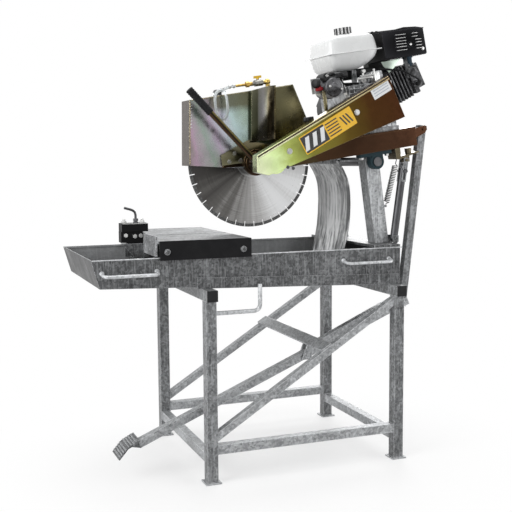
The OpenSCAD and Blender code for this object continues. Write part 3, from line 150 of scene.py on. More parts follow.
class Graph:
    """One material's node graph, built from the object's own coordinates."""

    def __init__(self, name):
        self.material = bpy.data.materials.new(name)
        self.material.use_nodes = True
        self.tree = self.material.node_tree
        self.shader = self.tree.nodes["Principled BSDF"]
        self.place = self.add("ShaderNodeTexCoord").outputs["Object"]

    def add(self, kind, sockets=None, **values):
        return new_node(self.tree, kind, sockets, **values)

    def mapped(self, scale, centre=(0, 0, 0), turn=(0, 0, 0)):
        """The place about a centre, turned and scaled axis by axis."""
        scale = [1 / part for part in scale]
        sockets = {"Vector": self.place, "Location": centre, "Rotation": turn, "Scale": scale}
        return self.add("ShaderNodeMapping", sockets, vector_type="TEXTURE").outputs["Vector"]

    def noise(self, scale, detail=4.0, rough=0.55, vector=None, twist=0.0):
        sockets = {"Scale": scale, "Detail": detail, "Roughness": rough, "Distortion": twist}
        sockets["Vector"] = vector or self.place
        return self.add("ShaderNodeTexNoise", sockets).outputs["Fac"]

    def cells(self, scale):
        """A random level for each crystal or grain."""
        cell = self.add("ShaderNodeTexVoronoi", {"Vector": self.place, "Scale": scale})
        return self.add("ShaderNodeSeparateColor", {"Color": cell.outputs["Color"]}).outputs["Red"]

    def maths(self, operation, first, second=0.0, clamp=False):
        node = self.add("ShaderNodeMath", {0: first, 1: second}, operation=operation, use_clamp=clamp)
        return node.outputs["Value"]

    def times(self, first, second, clamp=False):
        return self.maths("MULTIPLY", first, second, clamp)

    def swing(self, value):
        """A noise centred on 0."""
        return self.maths("SUBTRACT", value, 0.5)

    def vector(self, operation, first, second=None):
        sockets = {0: first} if second is None else {0: first, 1: second}
        return self.add("ShaderNodeVectorMath", sockets, operation=operation).outputs

    def parts(self, vector):
        return self.add("ShaderNodeSeparateXYZ", {"Vector": vector}).outputs

    def total(self, *shares):
        """Weighted sum of (weight, value) pairs."""
        result = None
        for weight, value in shares:
            part = self.times(value, weight)
            result = part if result is None else self.maths("ADD", result, part)
        return result

    def along(self, start, end):
        """0 at start, 1 at end, measured along the line between the two points."""
        line = Vector(end) - Vector(start)
        shifted = self.vector("SUBTRACT", self.place, start)["Vector"]
        return self.vector("DOT_PRODUCT", shifted, line / line.length_squared)["Value"]

    def ramp(self, factor, stops):
        """Colours or greys between (position, value) stops."""
        node = self.add("ShaderNodeValToRGB", {"Fac": factor})
        elements = node.color_ramp.elements
        while len(elements) < len(stops):
            elements.new(0.5)
        for element, (position, colour) in zip(elements, stops):
            element.position = position
            element.color = opaque(colour) if isinstance(colour, tuple) else (colour, colour, colour, 1.0)
        return node.outputs["Color"]

    def mix(self, factor, first, second, blend="MIX"):
        sockets = {"Factor": factor, 6: opaque(first), 7: opaque(second)}
        return self.add("ShaderNodeMix", sockets, data_type="RGBA", blend_type=blend).outputs[2]

    def soft_edges(self, radius):
        return self.add("ShaderNodeBevel", {"Radius": radius}, samples=4).outputs["Normal"]

    def rims(self, radius):
        """1 on the edges within the radius, 0 on the flats between them."""
        flat = self.add("ShaderNodeNewGeometry").outputs["True Normal"]
        same = self.vector("DOT_PRODUCT", self.soft_edges(radius), flat)["Value"]
        return self.times(self.maths("SUBTRACT", 1.0, same), 6.0, clamp=True)

    def bump(self, height, strength, distance, normal=None):
        """A normal for the height's relief, on top of another normal."""
        sockets = {"Height": height, "Strength": strength, "Distance": distance}
        if normal is not None:
            sockets["Normal"] = normal
        return self.add("ShaderNodeBump", sockets).outputs["Normal"]

    def finish(self, colour, metallic=0.0, roughness=0.5, normal=None, **others):
        """Feed the shader. Others are its inputs by name, with _ for a space."""
        sockets = {"Base Color": opaque(colour), "Metallic": metallic, "Roughness": roughness}
        sockets.update({key.replace("_", " "): value for key, value in others.items()})
        if normal is not None:
            sockets["Normal"] = normal
        feed(self.tree, self.shader, sockets)
        return self.material


# Finishes


def galvanised(name, colour, contrast=1.0, drip=(70, 70, 7), dark=0.45, bright=1.7, edge=0.0018, rim=3.0,
               tray=False):
    """Hot-dip zinc: cloudy patches, crystal flakes, long drips, and edges lightened partly as rubbed wear
    and partly as painted highlight.
    """
    g = Graph(name)
    clouds = g.noise(9, 6, 0.62)
    flakes = g.cells(130)
    drips = g.noise(1.0, 3, 0.6, g.mapped(drip), 0.4)
    runs = g.noise(1.0, 2, 0.5, g.mapped([part * 2.4 for part in drip]), 0.2)
    brushed = g.noise(1.0, 2, 0.5, g.mapped((260, 260, 16), turn=(0.4, 0.5, 0)))
    tone = g.total((0.44 * contrast, clouds), (0.12, flakes), (0.34 * contrast, drips), (0.12, brushed))
    middle = 0.39 * contrast + 0.12
    colours = g.ramp(tone, [(max(0.0, middle - 0.11), shade(colour, dark)), (middle, colour),
                            (middle + 0.06, shade(colour, (1 + bright) / 2)),
                            (middle + 0.12, shade(colour, bright))])
    streaks = g.ramp(runs, [(0.56, 0.0), (0.66, 1.0)])
    colours = g.mix(g.times(streaks, 0.6 * contrast), colours, shade(colour, bright * 1.4))
    # On the tray, painted shade on the sloping end and painted light on the far wall's inside.
    if tray:
        colours = tray_painted_shade_and_light(g, colours)
    # The edges are lightened: partly rubbed wear, partly painted highlight.
    colours = g.mix(g.rims(edge), colours, shade(colour, rim))
    rough = g.ramp(g.total((0.6, clouds), (0.4, drips)), [(0.35, 0.32), (0.65, 0.55)])
    normal = g.bump(g.total((0.6, flakes), (1.0, clouds)), 0.12, 0.002, g.soft_edges(edge))
    return g.finish(colours, 0.42, rough, normal, Specular_IOR_Level=0.3)


def tray_painted_shade_and_light(g, colours):
    """Painted shade and light on the tray: its sloping end is painted dark and its far wall, inside, is
    painted bright.
    """
    facing = g.parts(g.add("ShaderNodeNewGeometry").outputs["True Normal"])
    # Painted shade: faces turned towards -x, the sloping end, are made nearly black.
    colours = g.mix(g.times(facing["X"], -0.85, clamp=True), colours, (0.035, 0.035, 0.036))
    # Painted light: the far wall's inside, facing -y, is lightened.
    far = g.ramp(g.along((0, 0, 0), (0, 0.25, 0)), [(0.5, 0.0), (0.9, 1.0)])
    inside = g.times(far, g.times(facing["Y"], -1.0, clamp=True))
    return g.mix(g.times(inside, 0.5), colours, (0.62, 0.63, 0.64))


def head_point(u, w):
    """A point of the head in metres, from its own axes in millimetres."""
    return HEAD @ mm(u, 0, w)


def film_base(name, start, end, stops, patch):
    """The graph and colours of a yellow zinc film whose hue drifts from start to end."""
    g = Graph(name)
    film = g.noise(5.5, 3, 0.5, twist=1.2)
    fine = g.noise(38, 4, 0.6, twist=0.6)
    drift = g.along(head_point(*start), head_point(*end))
    place = g.total((1.0, drift), (patch, g.swing(film)), (0.07, g.swing(fine)))
    stains = g.ramp(g.noise(9, 3, 0.5), [(0.34, 0.66), (0.55, 1.0)])
    return g, fine, g.mix(0.6, g.ramp(place, stops), stains, "MULTIPLY")


def film_finish(g, fine, colours, rough=(0.14, 0.27), rim=(0.62, 0.58, 0.42)):
    """The film's sheen, with edges rubbed through to the zinc."""
    colours = g.mix(g.times(g.rims(0.0012), 0.7), colours, rim)
    roughness = g.ramp(fine, [(0.3, rough[0]), (0.7, rough[1])])
    normal = g.bump(fine, 0.06, 0.001, g.soft_edges(0.0016))
    return g.finish(colours, 0.88, roughness, normal, Specular_IOR_Level=0.3)


def passivated(name, start, end, stops, patch, rim=(0.62, 0.58, 0.42)):
    """Yellow zinc passivation: an oily film whose hue drifts along the sheet."""
    g, fine, colours = film_base(name, start, end, stops, patch)
    return film_finish(g, fine, colours, rim=rim)


def painted_bands(name, start, end, wander, scale, stops, rough):
    """Narrow bands of colour across a tube or a rib: painted reflections on the handle, and film colour with
    painted shade on the rib.
    """
    g = Graph(name)
    drift = g.along(head_point(*start), head_point(*end))
    across = g.total((1.0, drift), (wander, g.swing(g.noise(scale, 3))))
    return film_finish(g, g.noise(38, 4, 0.6), g.ramp(across, stops), rough)


BELT_GUARD_STOPS = [
    (0.0, (0.90, 0.98, 0.62)), (0.10, (0.72, 0.88, 0.42)), (0.20, (0.40, 0.47, 0.12)),
    (0.33, (0.22, 0.20, 0.035)), (0.55, (0.13, 0.085, 0.014)), (0.78, (0.060, 0.025, 0.006)),
    (1.0, (0.040, 0.013, 0.004)),
]
# Pearly at the left, olive along the top and dark towards the engine
BLADE_GUARD_STOPS = [
    (0.0, (0.24, 0.21, 0.20)), (0.06, (0.42, 0.30, 0.38)), (0.15, (0.29, 0.35, 0.31)),
    (0.25, (0.47, 0.39, 0.50)), (0.38, (0.43, 0.55, 0.55)), (0.50, (0.34, 0.43, 0.36)),
    (0.62, (0.050, 0.040, 0.018)), (0.74, (0.12, 0.11, 0.055)), (0.90, (0.26, 0.23, 0.12)),
    (1.0, (0.15, 0.14, 0.08)),
]
BRONZE_STOPS = [
    (0.0, (0.060, 0.060, 0.028)), (0.3, (0.055, 0.028, 0.012)), (0.6, (0.042, 0.020, 0.010)),
    (1.0, (0.052, 0.022, 0.011)),
]
GOLD_STOPS = [
    (0.0, (0.20, 0.15, 0.08)), (0.3, (0.16, 0.14, 0.06)), (0.6, (0.13, 0.11, 0.065)),
    (1.0, (0.12, 0.10, 0.065)),
]
CREAM_STOPS = [(0.0, (0.74, 0.80, 0.52)), (0.5, (0.50, 0.44, 0.22)), (1.0, (0.34, 0.26, 0.14))]
OLIVE_STOPS = [
    (0.0, (0.10, 0.095, 0.045)), (0.4, (0.045, 0.042, 0.020)), (0.7, (0.10, 0.08, 0.035)),
    (1.0, (0.05, 0.042, 0.02)),
]
# Painted reflections: stripes along the handle tube in cream, brown, black, olive and gold
HANDLE_REFLECTION_STOPS = [
    (0.04, (0.28, 0.26, 0.18)), (0.16, (0.10, 0.05, 0.025)), (0.36, (0.012, 0.009, 0.007)),
    (0.55, (0.024, 0.021, 0.008)), (0.70, (0.20, 0.16, 0.055)), (0.80, (0.17, 0.13, 0.05)),
    (0.94, (0.03, 0.02, 0.012)),
]
# Green-black painted shadow on the rib's left, the rib's own lilac grey, brown painted shading to its right,
# with a gold edge
RIB_FILM_AND_SHADE_STOPS = [
    (0.0, (0.030, 0.036, 0.018)), (0.24, (0.035, 0.036, 0.020)), (0.28, (0.11, 0.11, 0.10)),
    (0.45, (0.17, 0.165, 0.17)), (0.58, (0.10, 0.10, 0.08)), (0.63, (0.055, 0.040, 0.018)),
    (0.92, (0.038, 0.028, 0.013)), (0.97, (0.42, 0.34, 0.16)),
]


def blade_guard_film():
    """The blade guard's film, with a brown band under its top edge and a dark end face."""
    g, fine, colours = film_base("passivated_blade_guard", (-700, 150), (-160, 250), BLADE_GUARD_STOPS, 0.20)
    rise = g.along(head_point(-440, 262), head_point(-440, 334))
    rise = g.total((1.0, rise), (0.5, g.swing(g.noise(14, 4))))
    inward = g.ramp(g.along(head_point(-660, 300), head_point(-560, 300)), [(0.1, 0.0), (0.9, 1.0)])
    band = g.times(g.ramp(rise, [(0.0, 0.0), (0.45, 1.0)]), inward)
    colours = g.mix(g.times(band, 0.85), colours, (0.10, 0.092, 0.050))
    depth = g.along(head_point(-700, 93), head_point(-697, 92.5))
    colours = g.mix(g.ramp(depth, [(0.5, 1.0), (1.0, 0.0)]), colours, (0.045, 0.028, 0.016))
    return film_finish(g, fine, colours, (0.16, 0.32))


def housing_film():
    """The bearing housing: nearly black, with copper patches painted as highlights where the light would
    catch it.
    """
    g = Graph("passivated_housing")
    patches = g.noise(24, 4, 0.6, twist=0.8)
    colours = g.ramp(patches, [(0.42, (0.022, 0.014, 0.009)), (0.56, (0.060, 0.032, 0.015)),
                               (0.70, (0.25, 0.12, 0.055))])
    return film_finish(g, g.noise(38, 4, 0.6), colours, rim=(0.42, 0.30, 0.16))


def machined(name, colour, rough=0.28, metallic=1.0, lines=(30, 900, 30)):
    """Turned or ground bright steel."""
    g = Graph(name)
    cut = g.noise(1.0, 3, 0.6, g.mapped(lines))
    tone = g.ramp(g.total((0.5, cut), (0.5, g.noise(24, 4))), [(0.35, shade(colour, 0.55)), (0.65, colour)])
    tone = g.mix(g.times(g.rims(0.0007), 0.5), tone, shade(colour, 1.7))
    return g.finish(tone, metallic, rough, g.bump(cut, 0.05, 0.0004, g.soft_edges(0.0008)))


def blade_steel():
    """Ground blade core: fine circular lines, broad fans of painted highlight and a side painted lighter
    towards the right.
    """
    g = Graph("blade_core_steel")
    centred = g.mapped((1, 1, 1), BLADE_CENTRE)
    split = g.parts(centred)
    angle = g.maths("ARCTAN2", split["Z"], split["X"])
    radius = g.times(g.vector("LENGTH", centred)["Value"], 900.0)
    rings = g.add("ShaderNodeCombineXYZ", {"X": radius, "Y": g.times(angle, 1.2)})
    circles = g.noise(1.0, 3, 0.6, rings.outputs["Vector"])
    fans = g.add("ShaderNodeCombineXYZ", {"X": g.maths("SINE", angle), "Y": g.maths("COSINE", angle)})
    # Painted highlight: broad fans round the disc's centre.
    painted_highlight_fans = g.noise(3.2, 3, 0.55, fans.outputs["Vector"])
    # Painted light: the right side of the disc is lighter.
    lit = g.maths("COSINE", g.maths("ADD", angle, 0.30))
    tone = g.total((0.22, circles), (0.42, painted_highlight_fans), (0.20, g.maths("ADD", lit, 0.9)))
    colours = g.ramp(tone, [(0.32, (0.055, 0.052, 0.050)), (0.46, (0.13, 0.126, 0.12)),
                            (0.57, (0.36, 0.355, 0.35)), (0.70, (0.66, 0.665, 0.67))])
    rough = g.ramp(circles, [(0.3, 0.26), (0.7, 0.42)])
    return g.finish(colours, 0.95, rough, g.bump(circles, 0.08, 0.0003))


def segment_grit():
    """Sintered matrix with its diamond grit."""
    g = Graph("segment_grit")
    grit = g.cells(900)
    colours = g.ramp(grit, [(0.2, (0.05, 0.052, 0.055)), (0.85, (0.14, 0.14, 0.14)),
                            (0.97, (0.34, 0.33, 0.30))])
    return g.finish(colours, 0.55, 0.55, g.bump(grit, 0.5, 0.0006))


def rubber(name, colour, dust, rough):
    """Black rubber with pale dust in its grain."""
    g = Graph(name)
    powder = g.noise(26, 6, 0.65)
    grain = g.noise(700, 2)
    tint = tuple(part + dust for part in colour)
    colours = g.ramp(powder, [(0.42, colour), (0.78, tint)])
    return g.finish(colours, 0.0, g.ramp(powder, [(0.4, rough - 0.12), (0.7, rough + 0.15)]),
                    g.bump(grain, 0.18, 0.0004, g.soft_edges(0.002)), Specular_IOR_Level=0.1)


def slurry_rubber():
    """The curtain: grey rubber that cutting slurry has streaked."""
    g = Graph("curtain_rubber")
    streaks = g.noise(1.0, 4, 0.6, g.mapped((60, 60, 2.6)), 0.3)
    smears = g.noise(7, 4, 0.6, twist=0.8)
    across = g.maths("ABSOLUTE", g.parts(g.place)["Y"])
    tone = g.total((0.78, streaks), (0.30, smears), (-0.95, across), (0.02, 1.0))
    colours = g.ramp(tone, [(0.34, (0.03, 0.032, 0.034)), (0.42, (0.15, 0.155, 0.16)),
                            (0.49, (0.42, 0.425, 0.43)), (0.58, (0.74, 0.745, 0.75))])
    return g.finish(colours, 0.0, g.ramp(tone, [(0.35, 0.28), (0.65, 0.5)]), g.bump(tone, 0.25, 0.002))


def moulded(name, colour, rough=0.42):
    """Textured moulded plastic."""
    g = Graph(name)
    grain = g.noise(520, 3, 0.6)
    wear = g.noise(18, 4, 0.6)
    colours = g.ramp(wear, [(0.35, shade(colour, 0.7)), (0.7, tuple(part * 1.2 + 0.004 for part in colour))])
    return g.finish(colours, 0.0, g.ramp(wear, [(0.3, rough - 0.08), (0.7, rough + 0.1)]),
                    g.bump(grain, 0.15, 0.0003, g.soft_edges(0.0012)), Specular_IOR_Level=0.25)


def enamel(name, colour, rough=0.3, wear=0.25, edge=0.0016, rim=2.5, gloss=0.12):
    """Sprayed paint with an uneven skin, thin dirt and a painted shine on its edges."""
    g = Graph(name)
    skin = g.noise(260, 2)
    dirt = g.noise(14, 6, 0.66)
    colours = g.ramp(dirt, [(0.30, shade(colour, 1 - wear)), (0.52, colour), (0.8, shade(colour, 1.2))])
    # Painted highlight: the edges are lightened towards a shine colour.
    painted_edge_shine = tuple(part * rim + 0.02 for part in colour)
    colours = g.mix(g.times(g.rims(edge), 0.5), colours, painted_edge_shine)
    return g.finish(colours, 0.0, g.ramp(dirt, [(0.3, rough + 0.14), (0.6, rough)]),
                    g.bump(skin, 0.04, 0.0004, g.soft_edges(edge)), Specular_IOR_Level=gloss)


def tank_paint(colour):
    """Tank paint, greyer below the seam."""
    g = Graph("tank_paint")
    low = head_point(0, 350)
    high = head_point(0, 500)
    height = g.total((1.0, g.along(low, high)), (0.10, g.noise(12, 5)))
    colours = g.ramp(height, [(0.05, shade(colour, 0.80)), (0.42, shade(colour, 0.93)), (0.55, colour)])
    specks = g.ramp(g.noise(90, 4, 0.7), [(0.28, 0.90), (0.36, 1.0)])
    colours = g.mix(0.8, colours, specks, "MULTIPLY")
    return g.finish(colours, 0.0, g.ramp(g.noise(20, 3), [(0.3, 0.20), (0.7, 0.32)]),
                    g.bump(g.noise(210, 2), 0.03, 0.0004), Coat_Weight=0.2, Coat_Roughness=0.08)


def cast(name, colour, metallic=0.75, rough=0.45, low=0.08, high=1.7, rim=0.0):
    """Sand or die casting: a pebbled skin with oil in the corners."""
    g = Graph(name)
    pebbles = g.noise(330, 3, 0.6)
    oil = g.noise(21, 6, 0.70, twist=0.5)
    colours = g.ramp(oil, [(0.36, shade(colour, low)), (0.46, shade(colour, 0.45)), (0.56, colour),
                           (0.68, shade(colour, high))])
    # Painted highlight: with rim given, the edges are lightened.
    if rim:
        colours = g.mix(g.rims(0.0016), colours, shade(colour, rim))
    return g.finish(colours, metallic, g.ramp(oil, [(0.3, rough + 0.2), (0.6, rough - 0.08)]),
                    g.bump(pebbles, 0.35, 0.0006, g.soft_edges(0.0022)), Specular_IOR_Level=0.3)


def cap_ribs():
    """The fuel cap: a plated rim with black grooves round it."""
    g = Graph("cap_ribs")
    low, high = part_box("fuel_cap")
    split = g.parts(g.mapped((1, 1, 1), (low + high) / 2, (0, -HEAD_TILT, 0)))
    angle = g.maths("ARCTAN2", split["Y"], split["X"])
    wave = g.total((0.5, g.maths("SINE", g.times(angle, 14.0))), (0.5, 1.0))
    colours = g.ramp(wave, [(0.38, 0.02), (0.60, 0.36), (0.95, 0.50)])
    return g.finish(colours, 0.6, 0.4, g.soft_edges(0.0012))


def brassware():
    """The valve: brass, a dull silver body and a gold end, in that order towards the engine."""
    g = Graph("brass")
    tarnish = g.noise(60, 5, 0.6)
    length = g.along(head_point(-430, 360), head_point(-325, 360))
    colours = g.ramp(length, [(0.24, (0.55, 0.36, 0.10)), (0.30, (0.30, 0.30, 0.28)),
                              (0.68, (0.36, 0.35, 0.32)), (0.74, (0.60, 0.42, 0.12))])
    dull = g.ramp(tarnish, [(0.35, 0.35), (0.60, 1.0)])
    return g.finish(g.mix(0.85, colours, dull, "MULTIPLY"), 1.0, g.ramp(tarnish, [(0.3, 0.4), (0.7, 0.2)]),
                    g.soft_edges(0.001))


def clear_hose():
    """Clear vinyl with a grey bloom inside."""
    g = Graph("clear_vinyl")
    bloom = g.noise(80, 4)
    colours = g.ramp(bloom, [(0.3, (0.62, 0.66, 0.68)), (0.7, (0.88, 0.91, 0.92))])
    return g.finish(colours, 0.0, 0.12, None, Transmission_Weight=0.55, IOR=1.45, Coat_Weight=0.4)


def label_ink(name, colour):
    """Printed film under a thin gloss, scuffed a little."""
    g = Graph(name)
    scuffs = g.noise(1.0, 4, 0.7, g.mapped((40, 40, 260), turn=(0, 0.5, 0)))
    colours = g.ramp(scuffs, [(0.28, tuple(part * 0.8 + 0.03 for part in colour)), (0.40, colour)])
    return g.finish(colours, 0.0, g.ramp(scuffs, [(0.3, 0.5), (0.6, 0.25)]), None, Coat_Weight=0.3)


def weld_metal():
    """A bright bead with a rough skin."""
    g = Graph("weld_metal")
    skin = g.noise(240, 4, 0.7)
    colours = g.ramp(skin, [(0.35, (0.16, 0.165, 0.17)), (0.65, (0.50, 0.51, 0.52))])
    return g.finish(colours, 0.6, 0.42, g.bump(skin, 0.5, 0.001))


# Modelling

UP = (0, 0, 1)
BACK = (0, 1, 0)


def let_go():
    """Leave edit mode and select nothing."""
    if bpy.context.object and bpy.context.object.mode != "OBJECT":
        bpy.ops.object.mode_set(mode="OBJECT")
    bpy.ops.object.select_all(action="DESELECT")


def hold(piece):
    """Make the piece the only one that is selected."""
    let_go()
    bpy.context.view_layer.objects.active = piece
    piece.select_set(True)
    return piece


def settle(piece, matrix=None):
    """Put the piece's place into its mesh, in the whole object's frame."""
    hold(piece)
    if matrix is not None:
        piece.matrix_world = matrix @ piece.matrix_world
    bpy.ops.object.transform_apply(location=True, rotation=True, scale=True)
    return piece


def modify(piece, kind, **values):
    """Add a modifier with these settings and apply it."""
    hold(piece)
    bpy.ops.object.modifier_add(type=kind)
    modifier = piece.modifiers[-1]
    for key, value in values.items():
        setattr(modifier, key, value)
    bpy.ops.object.modifier_apply(modifier=modifier.name)
    return piece


def bevelled(piece, width, steps=2, **values):
    return modify(piece, "BEVEL", width=width, segments=steps, limit_method="ANGLE", **values)


def outward(piece):
    """Merge doubled points and turn every face outward."""
    hold(piece)
    bpy.ops.object.mode_set(mode="EDIT")
    bpy.ops.mesh.select_all(action="SELECT")
    bpy.ops.mesh.remove_doubles(threshold=0.00001)
    bpy.ops.mesh.normals_make_consistent(inside=False)
    bpy.ops.object.mode_set(mode="OBJECT")
    return piece


def smooth(piece, angle=40):
    hold(piece)
    bpy.ops.object.shade_smooth_by_angle(angle=math.radians(angle))
    return piece


def slab(low, high, bevel=0.0, steps=2):
    """A box from one corner to the other, with rounded edges, in metres."""
    let_go()
    low = Vector(low)
    high = Vector(high)
    bpy.ops.mesh.primitive_cube_add(size=1, location=(low + high) / 2, scale=high - low)
    piece = settle(bpy.context.object)
    if bevel:
        smooth(bevelled(piece, bevel, steps))
    return piece


def round_corners(piece, axis, radius, steps):
    """Round a box's four edges along one axis."""
    hold(piece)
    bpy.ops.object.mode_set(mode="EDIT")
    mesh = bmesh.from_edit_mesh(piece.data)
    for edge in mesh.edges:
        line = edge.verts[0].co - edge.verts[1].co
        edge.select = abs(line[axis]) > 0.5 * line.length
    bmesh.update_edit_mesh(piece.data)
    bpy.ops.mesh.bevel(offset=radius, segments=steps)
    bpy.ops.object.mode_set(mode="OBJECT")
    return piece


def turned(at, profile, sides=6, axis=(0, -1, 0)):
    """A turned piece from a point along an axis. The profile is (distance, radius) pairs in millimetres."""
    let_go()
    bpy.ops.mesh.primitive_circle_add(vertices=sides, radius=profile[0][1] * MM, fill_type="NGON")
    piece = bpy.context.object
    bpy.ops.object.mode_set(mode="EDIT")
    bpy.ops.mesh.select_all(action="SELECT")
    for (before, old), (after, new) in zip(profile, profile[1:]):
        bpy.ops.mesh.extrude_region_move(TRANSFORM_OT_translate={"value": (0, 0, (after - before) * MM)})
        bpy.ops.transform.resize(value=(new / old, new / old, 1))
    bpy.ops.object.mode_set(mode="OBJECT")
    turn = Vector(UP).rotation_difference(Vector(axis)).to_matrix().to_4x4()
    settle(piece, Matrix.Translation(at) @ turn)
    return smooth(outward(piece), 35)


def bolt(washer, head, top, *tip):
    """The profile of a hexagon head on its washer."""
    return [(0, washer), (1, washer), (1.2, head), (top, head), *tip]


def rounded_points(corners, radius, steps=6):
    """The corners of an open path, with each bend turned into an arc."""
    points = [Vector(corners[0])]
    for before, corner, after in zip(corners, corners[1:], corners[2:]):
        corner = Vector(corner)
        back = (Vector(before) - corner).normalized()
        ahead = (Vector(after) - corner).normalized()
        start = corner + back * radius
        end = corner + ahead * radius
        for i in range(steps + 1):
            t = i / steps
            points.append(start.lerp(corner, t).lerp(corner.lerp(end, t), t))
    points.append(Vector(corners[-1]))
    return points


def tube(points, radius, sides=5, angle=50, ripple=0.0):
    """A round tube along the points, with closed ends. A ripple makes it thick and thin by turns."""
    let_go()
    curve = bpy.data.curves.new("tube", "CURVE")
    curve.dimensions = "3D"
    curve.bevel_depth = radius
    curve.bevel_resolution = sides
    curve.use_fill_caps = True
    spline = curve.splines.new("POLY")
    spline.points.add(len(points) - 1)
    for i, (spot, point) in enumerate(zip(spline.points, points)):
        spot.co = (*point, 1.0)
        spot.radius = 1.0 + ripple * math.sin(i * 2.1)
    piece = bpy.data.objects.new("tube", curve)
    bpy.context.scene.collection.objects.link(piece)
    hold(piece)
    bpy.ops.object.convert(target="MESH")
    return smooth(outward(bpy.context.object), angle)


def plate(corners, near, far, bevel=0.0):
    """A flat plate of the head: (u, w) corners in order, between two distances across, in millimetres."""
    let_go()
    bpy.ops.mesh.primitive_circle_add(vertices=len(corners), radius=1, fill_type="NGON")
    piece = bpy.context.object
    for vertex, (u, w) in zip(piece.data.vertices, corners):
        vertex.co = mm(u, near, w)
    bpy.ops.object.mode_set(mode="EDIT")
    bpy.ops.mesh.select_all(action="SELECT")
    bpy.ops.mesh.extrude_region_move(TRANSFORM_OT_translate={"value": (0, (far - near) * MM, 0)})
    bpy.ops.object.mode_set(mode="OBJECT")
    outward(piece)
    if bevel:
        bevelled(piece, bevel)
    return smooth(piece)


def strap(path, near, far, thick=2.0, bend=12.0):
    """A bent strap of the head along (u, w) points, between two distances across, in millimetres."""
    points = rounded_points([(u, 0, w) for u, w in path], bend)
    sides = [(point.x, point.z) for point in points]
    back = []
    for point, before, after in zip(points, points[:1] + points, points[1:] + points[-1:]):
        line = (after - before).normalized()
        back.append((point.x - line.z * thick, point.z + line.x * thick))
    return plate(sides + back[::-1], near, far)


def coil(start, end, radius, turns, steps=14):
    """Points of a coil about the line from start to end."""
    line = end - start
    axis = line.normalized()
    side = axis.cross(Vector((0, 1, 0))).normalized()
    across = axis.cross(side)
    count = int(turns * steps)
    points = [start]
    for i in range(count + 1):
        angle = math.tau * i / steps
        along = line * (0.06 + 0.88 * i / count)
        points.append(start + along + radius * (math.cos(angle) * side + math.sin(angle) * across))
    points.append(end)
    return points


def dress(name, pieces, finish, body, *nodes, slot=None, matrix=None):
    """Join pieces and give them their finish and the body that they move with."""
    let_go()
    for piece in pieces:
        piece.select_set(True)
    bpy.context.view_layer.objects.active = pieces[0]
    if len(pieces) > 1:
        bpy.ops.object.join()
    piece = settle(bpy.context.object, matrix)
    piece.name = name
    piece.data.name = name
    piece.data.materials.clear()
    piece.data.materials.append(finishes()[finish])
    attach(piece, body)
    if nodes:
        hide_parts(*nodes)


def fit(name, pieces, finish, *nodes, body="head", slot=None):
    """Dress pieces that are modelled on the head's own axes."""
    dress(name, pieces, finish, body, *nodes, slot=slot, matrix=HEAD)


PALETTE = {}


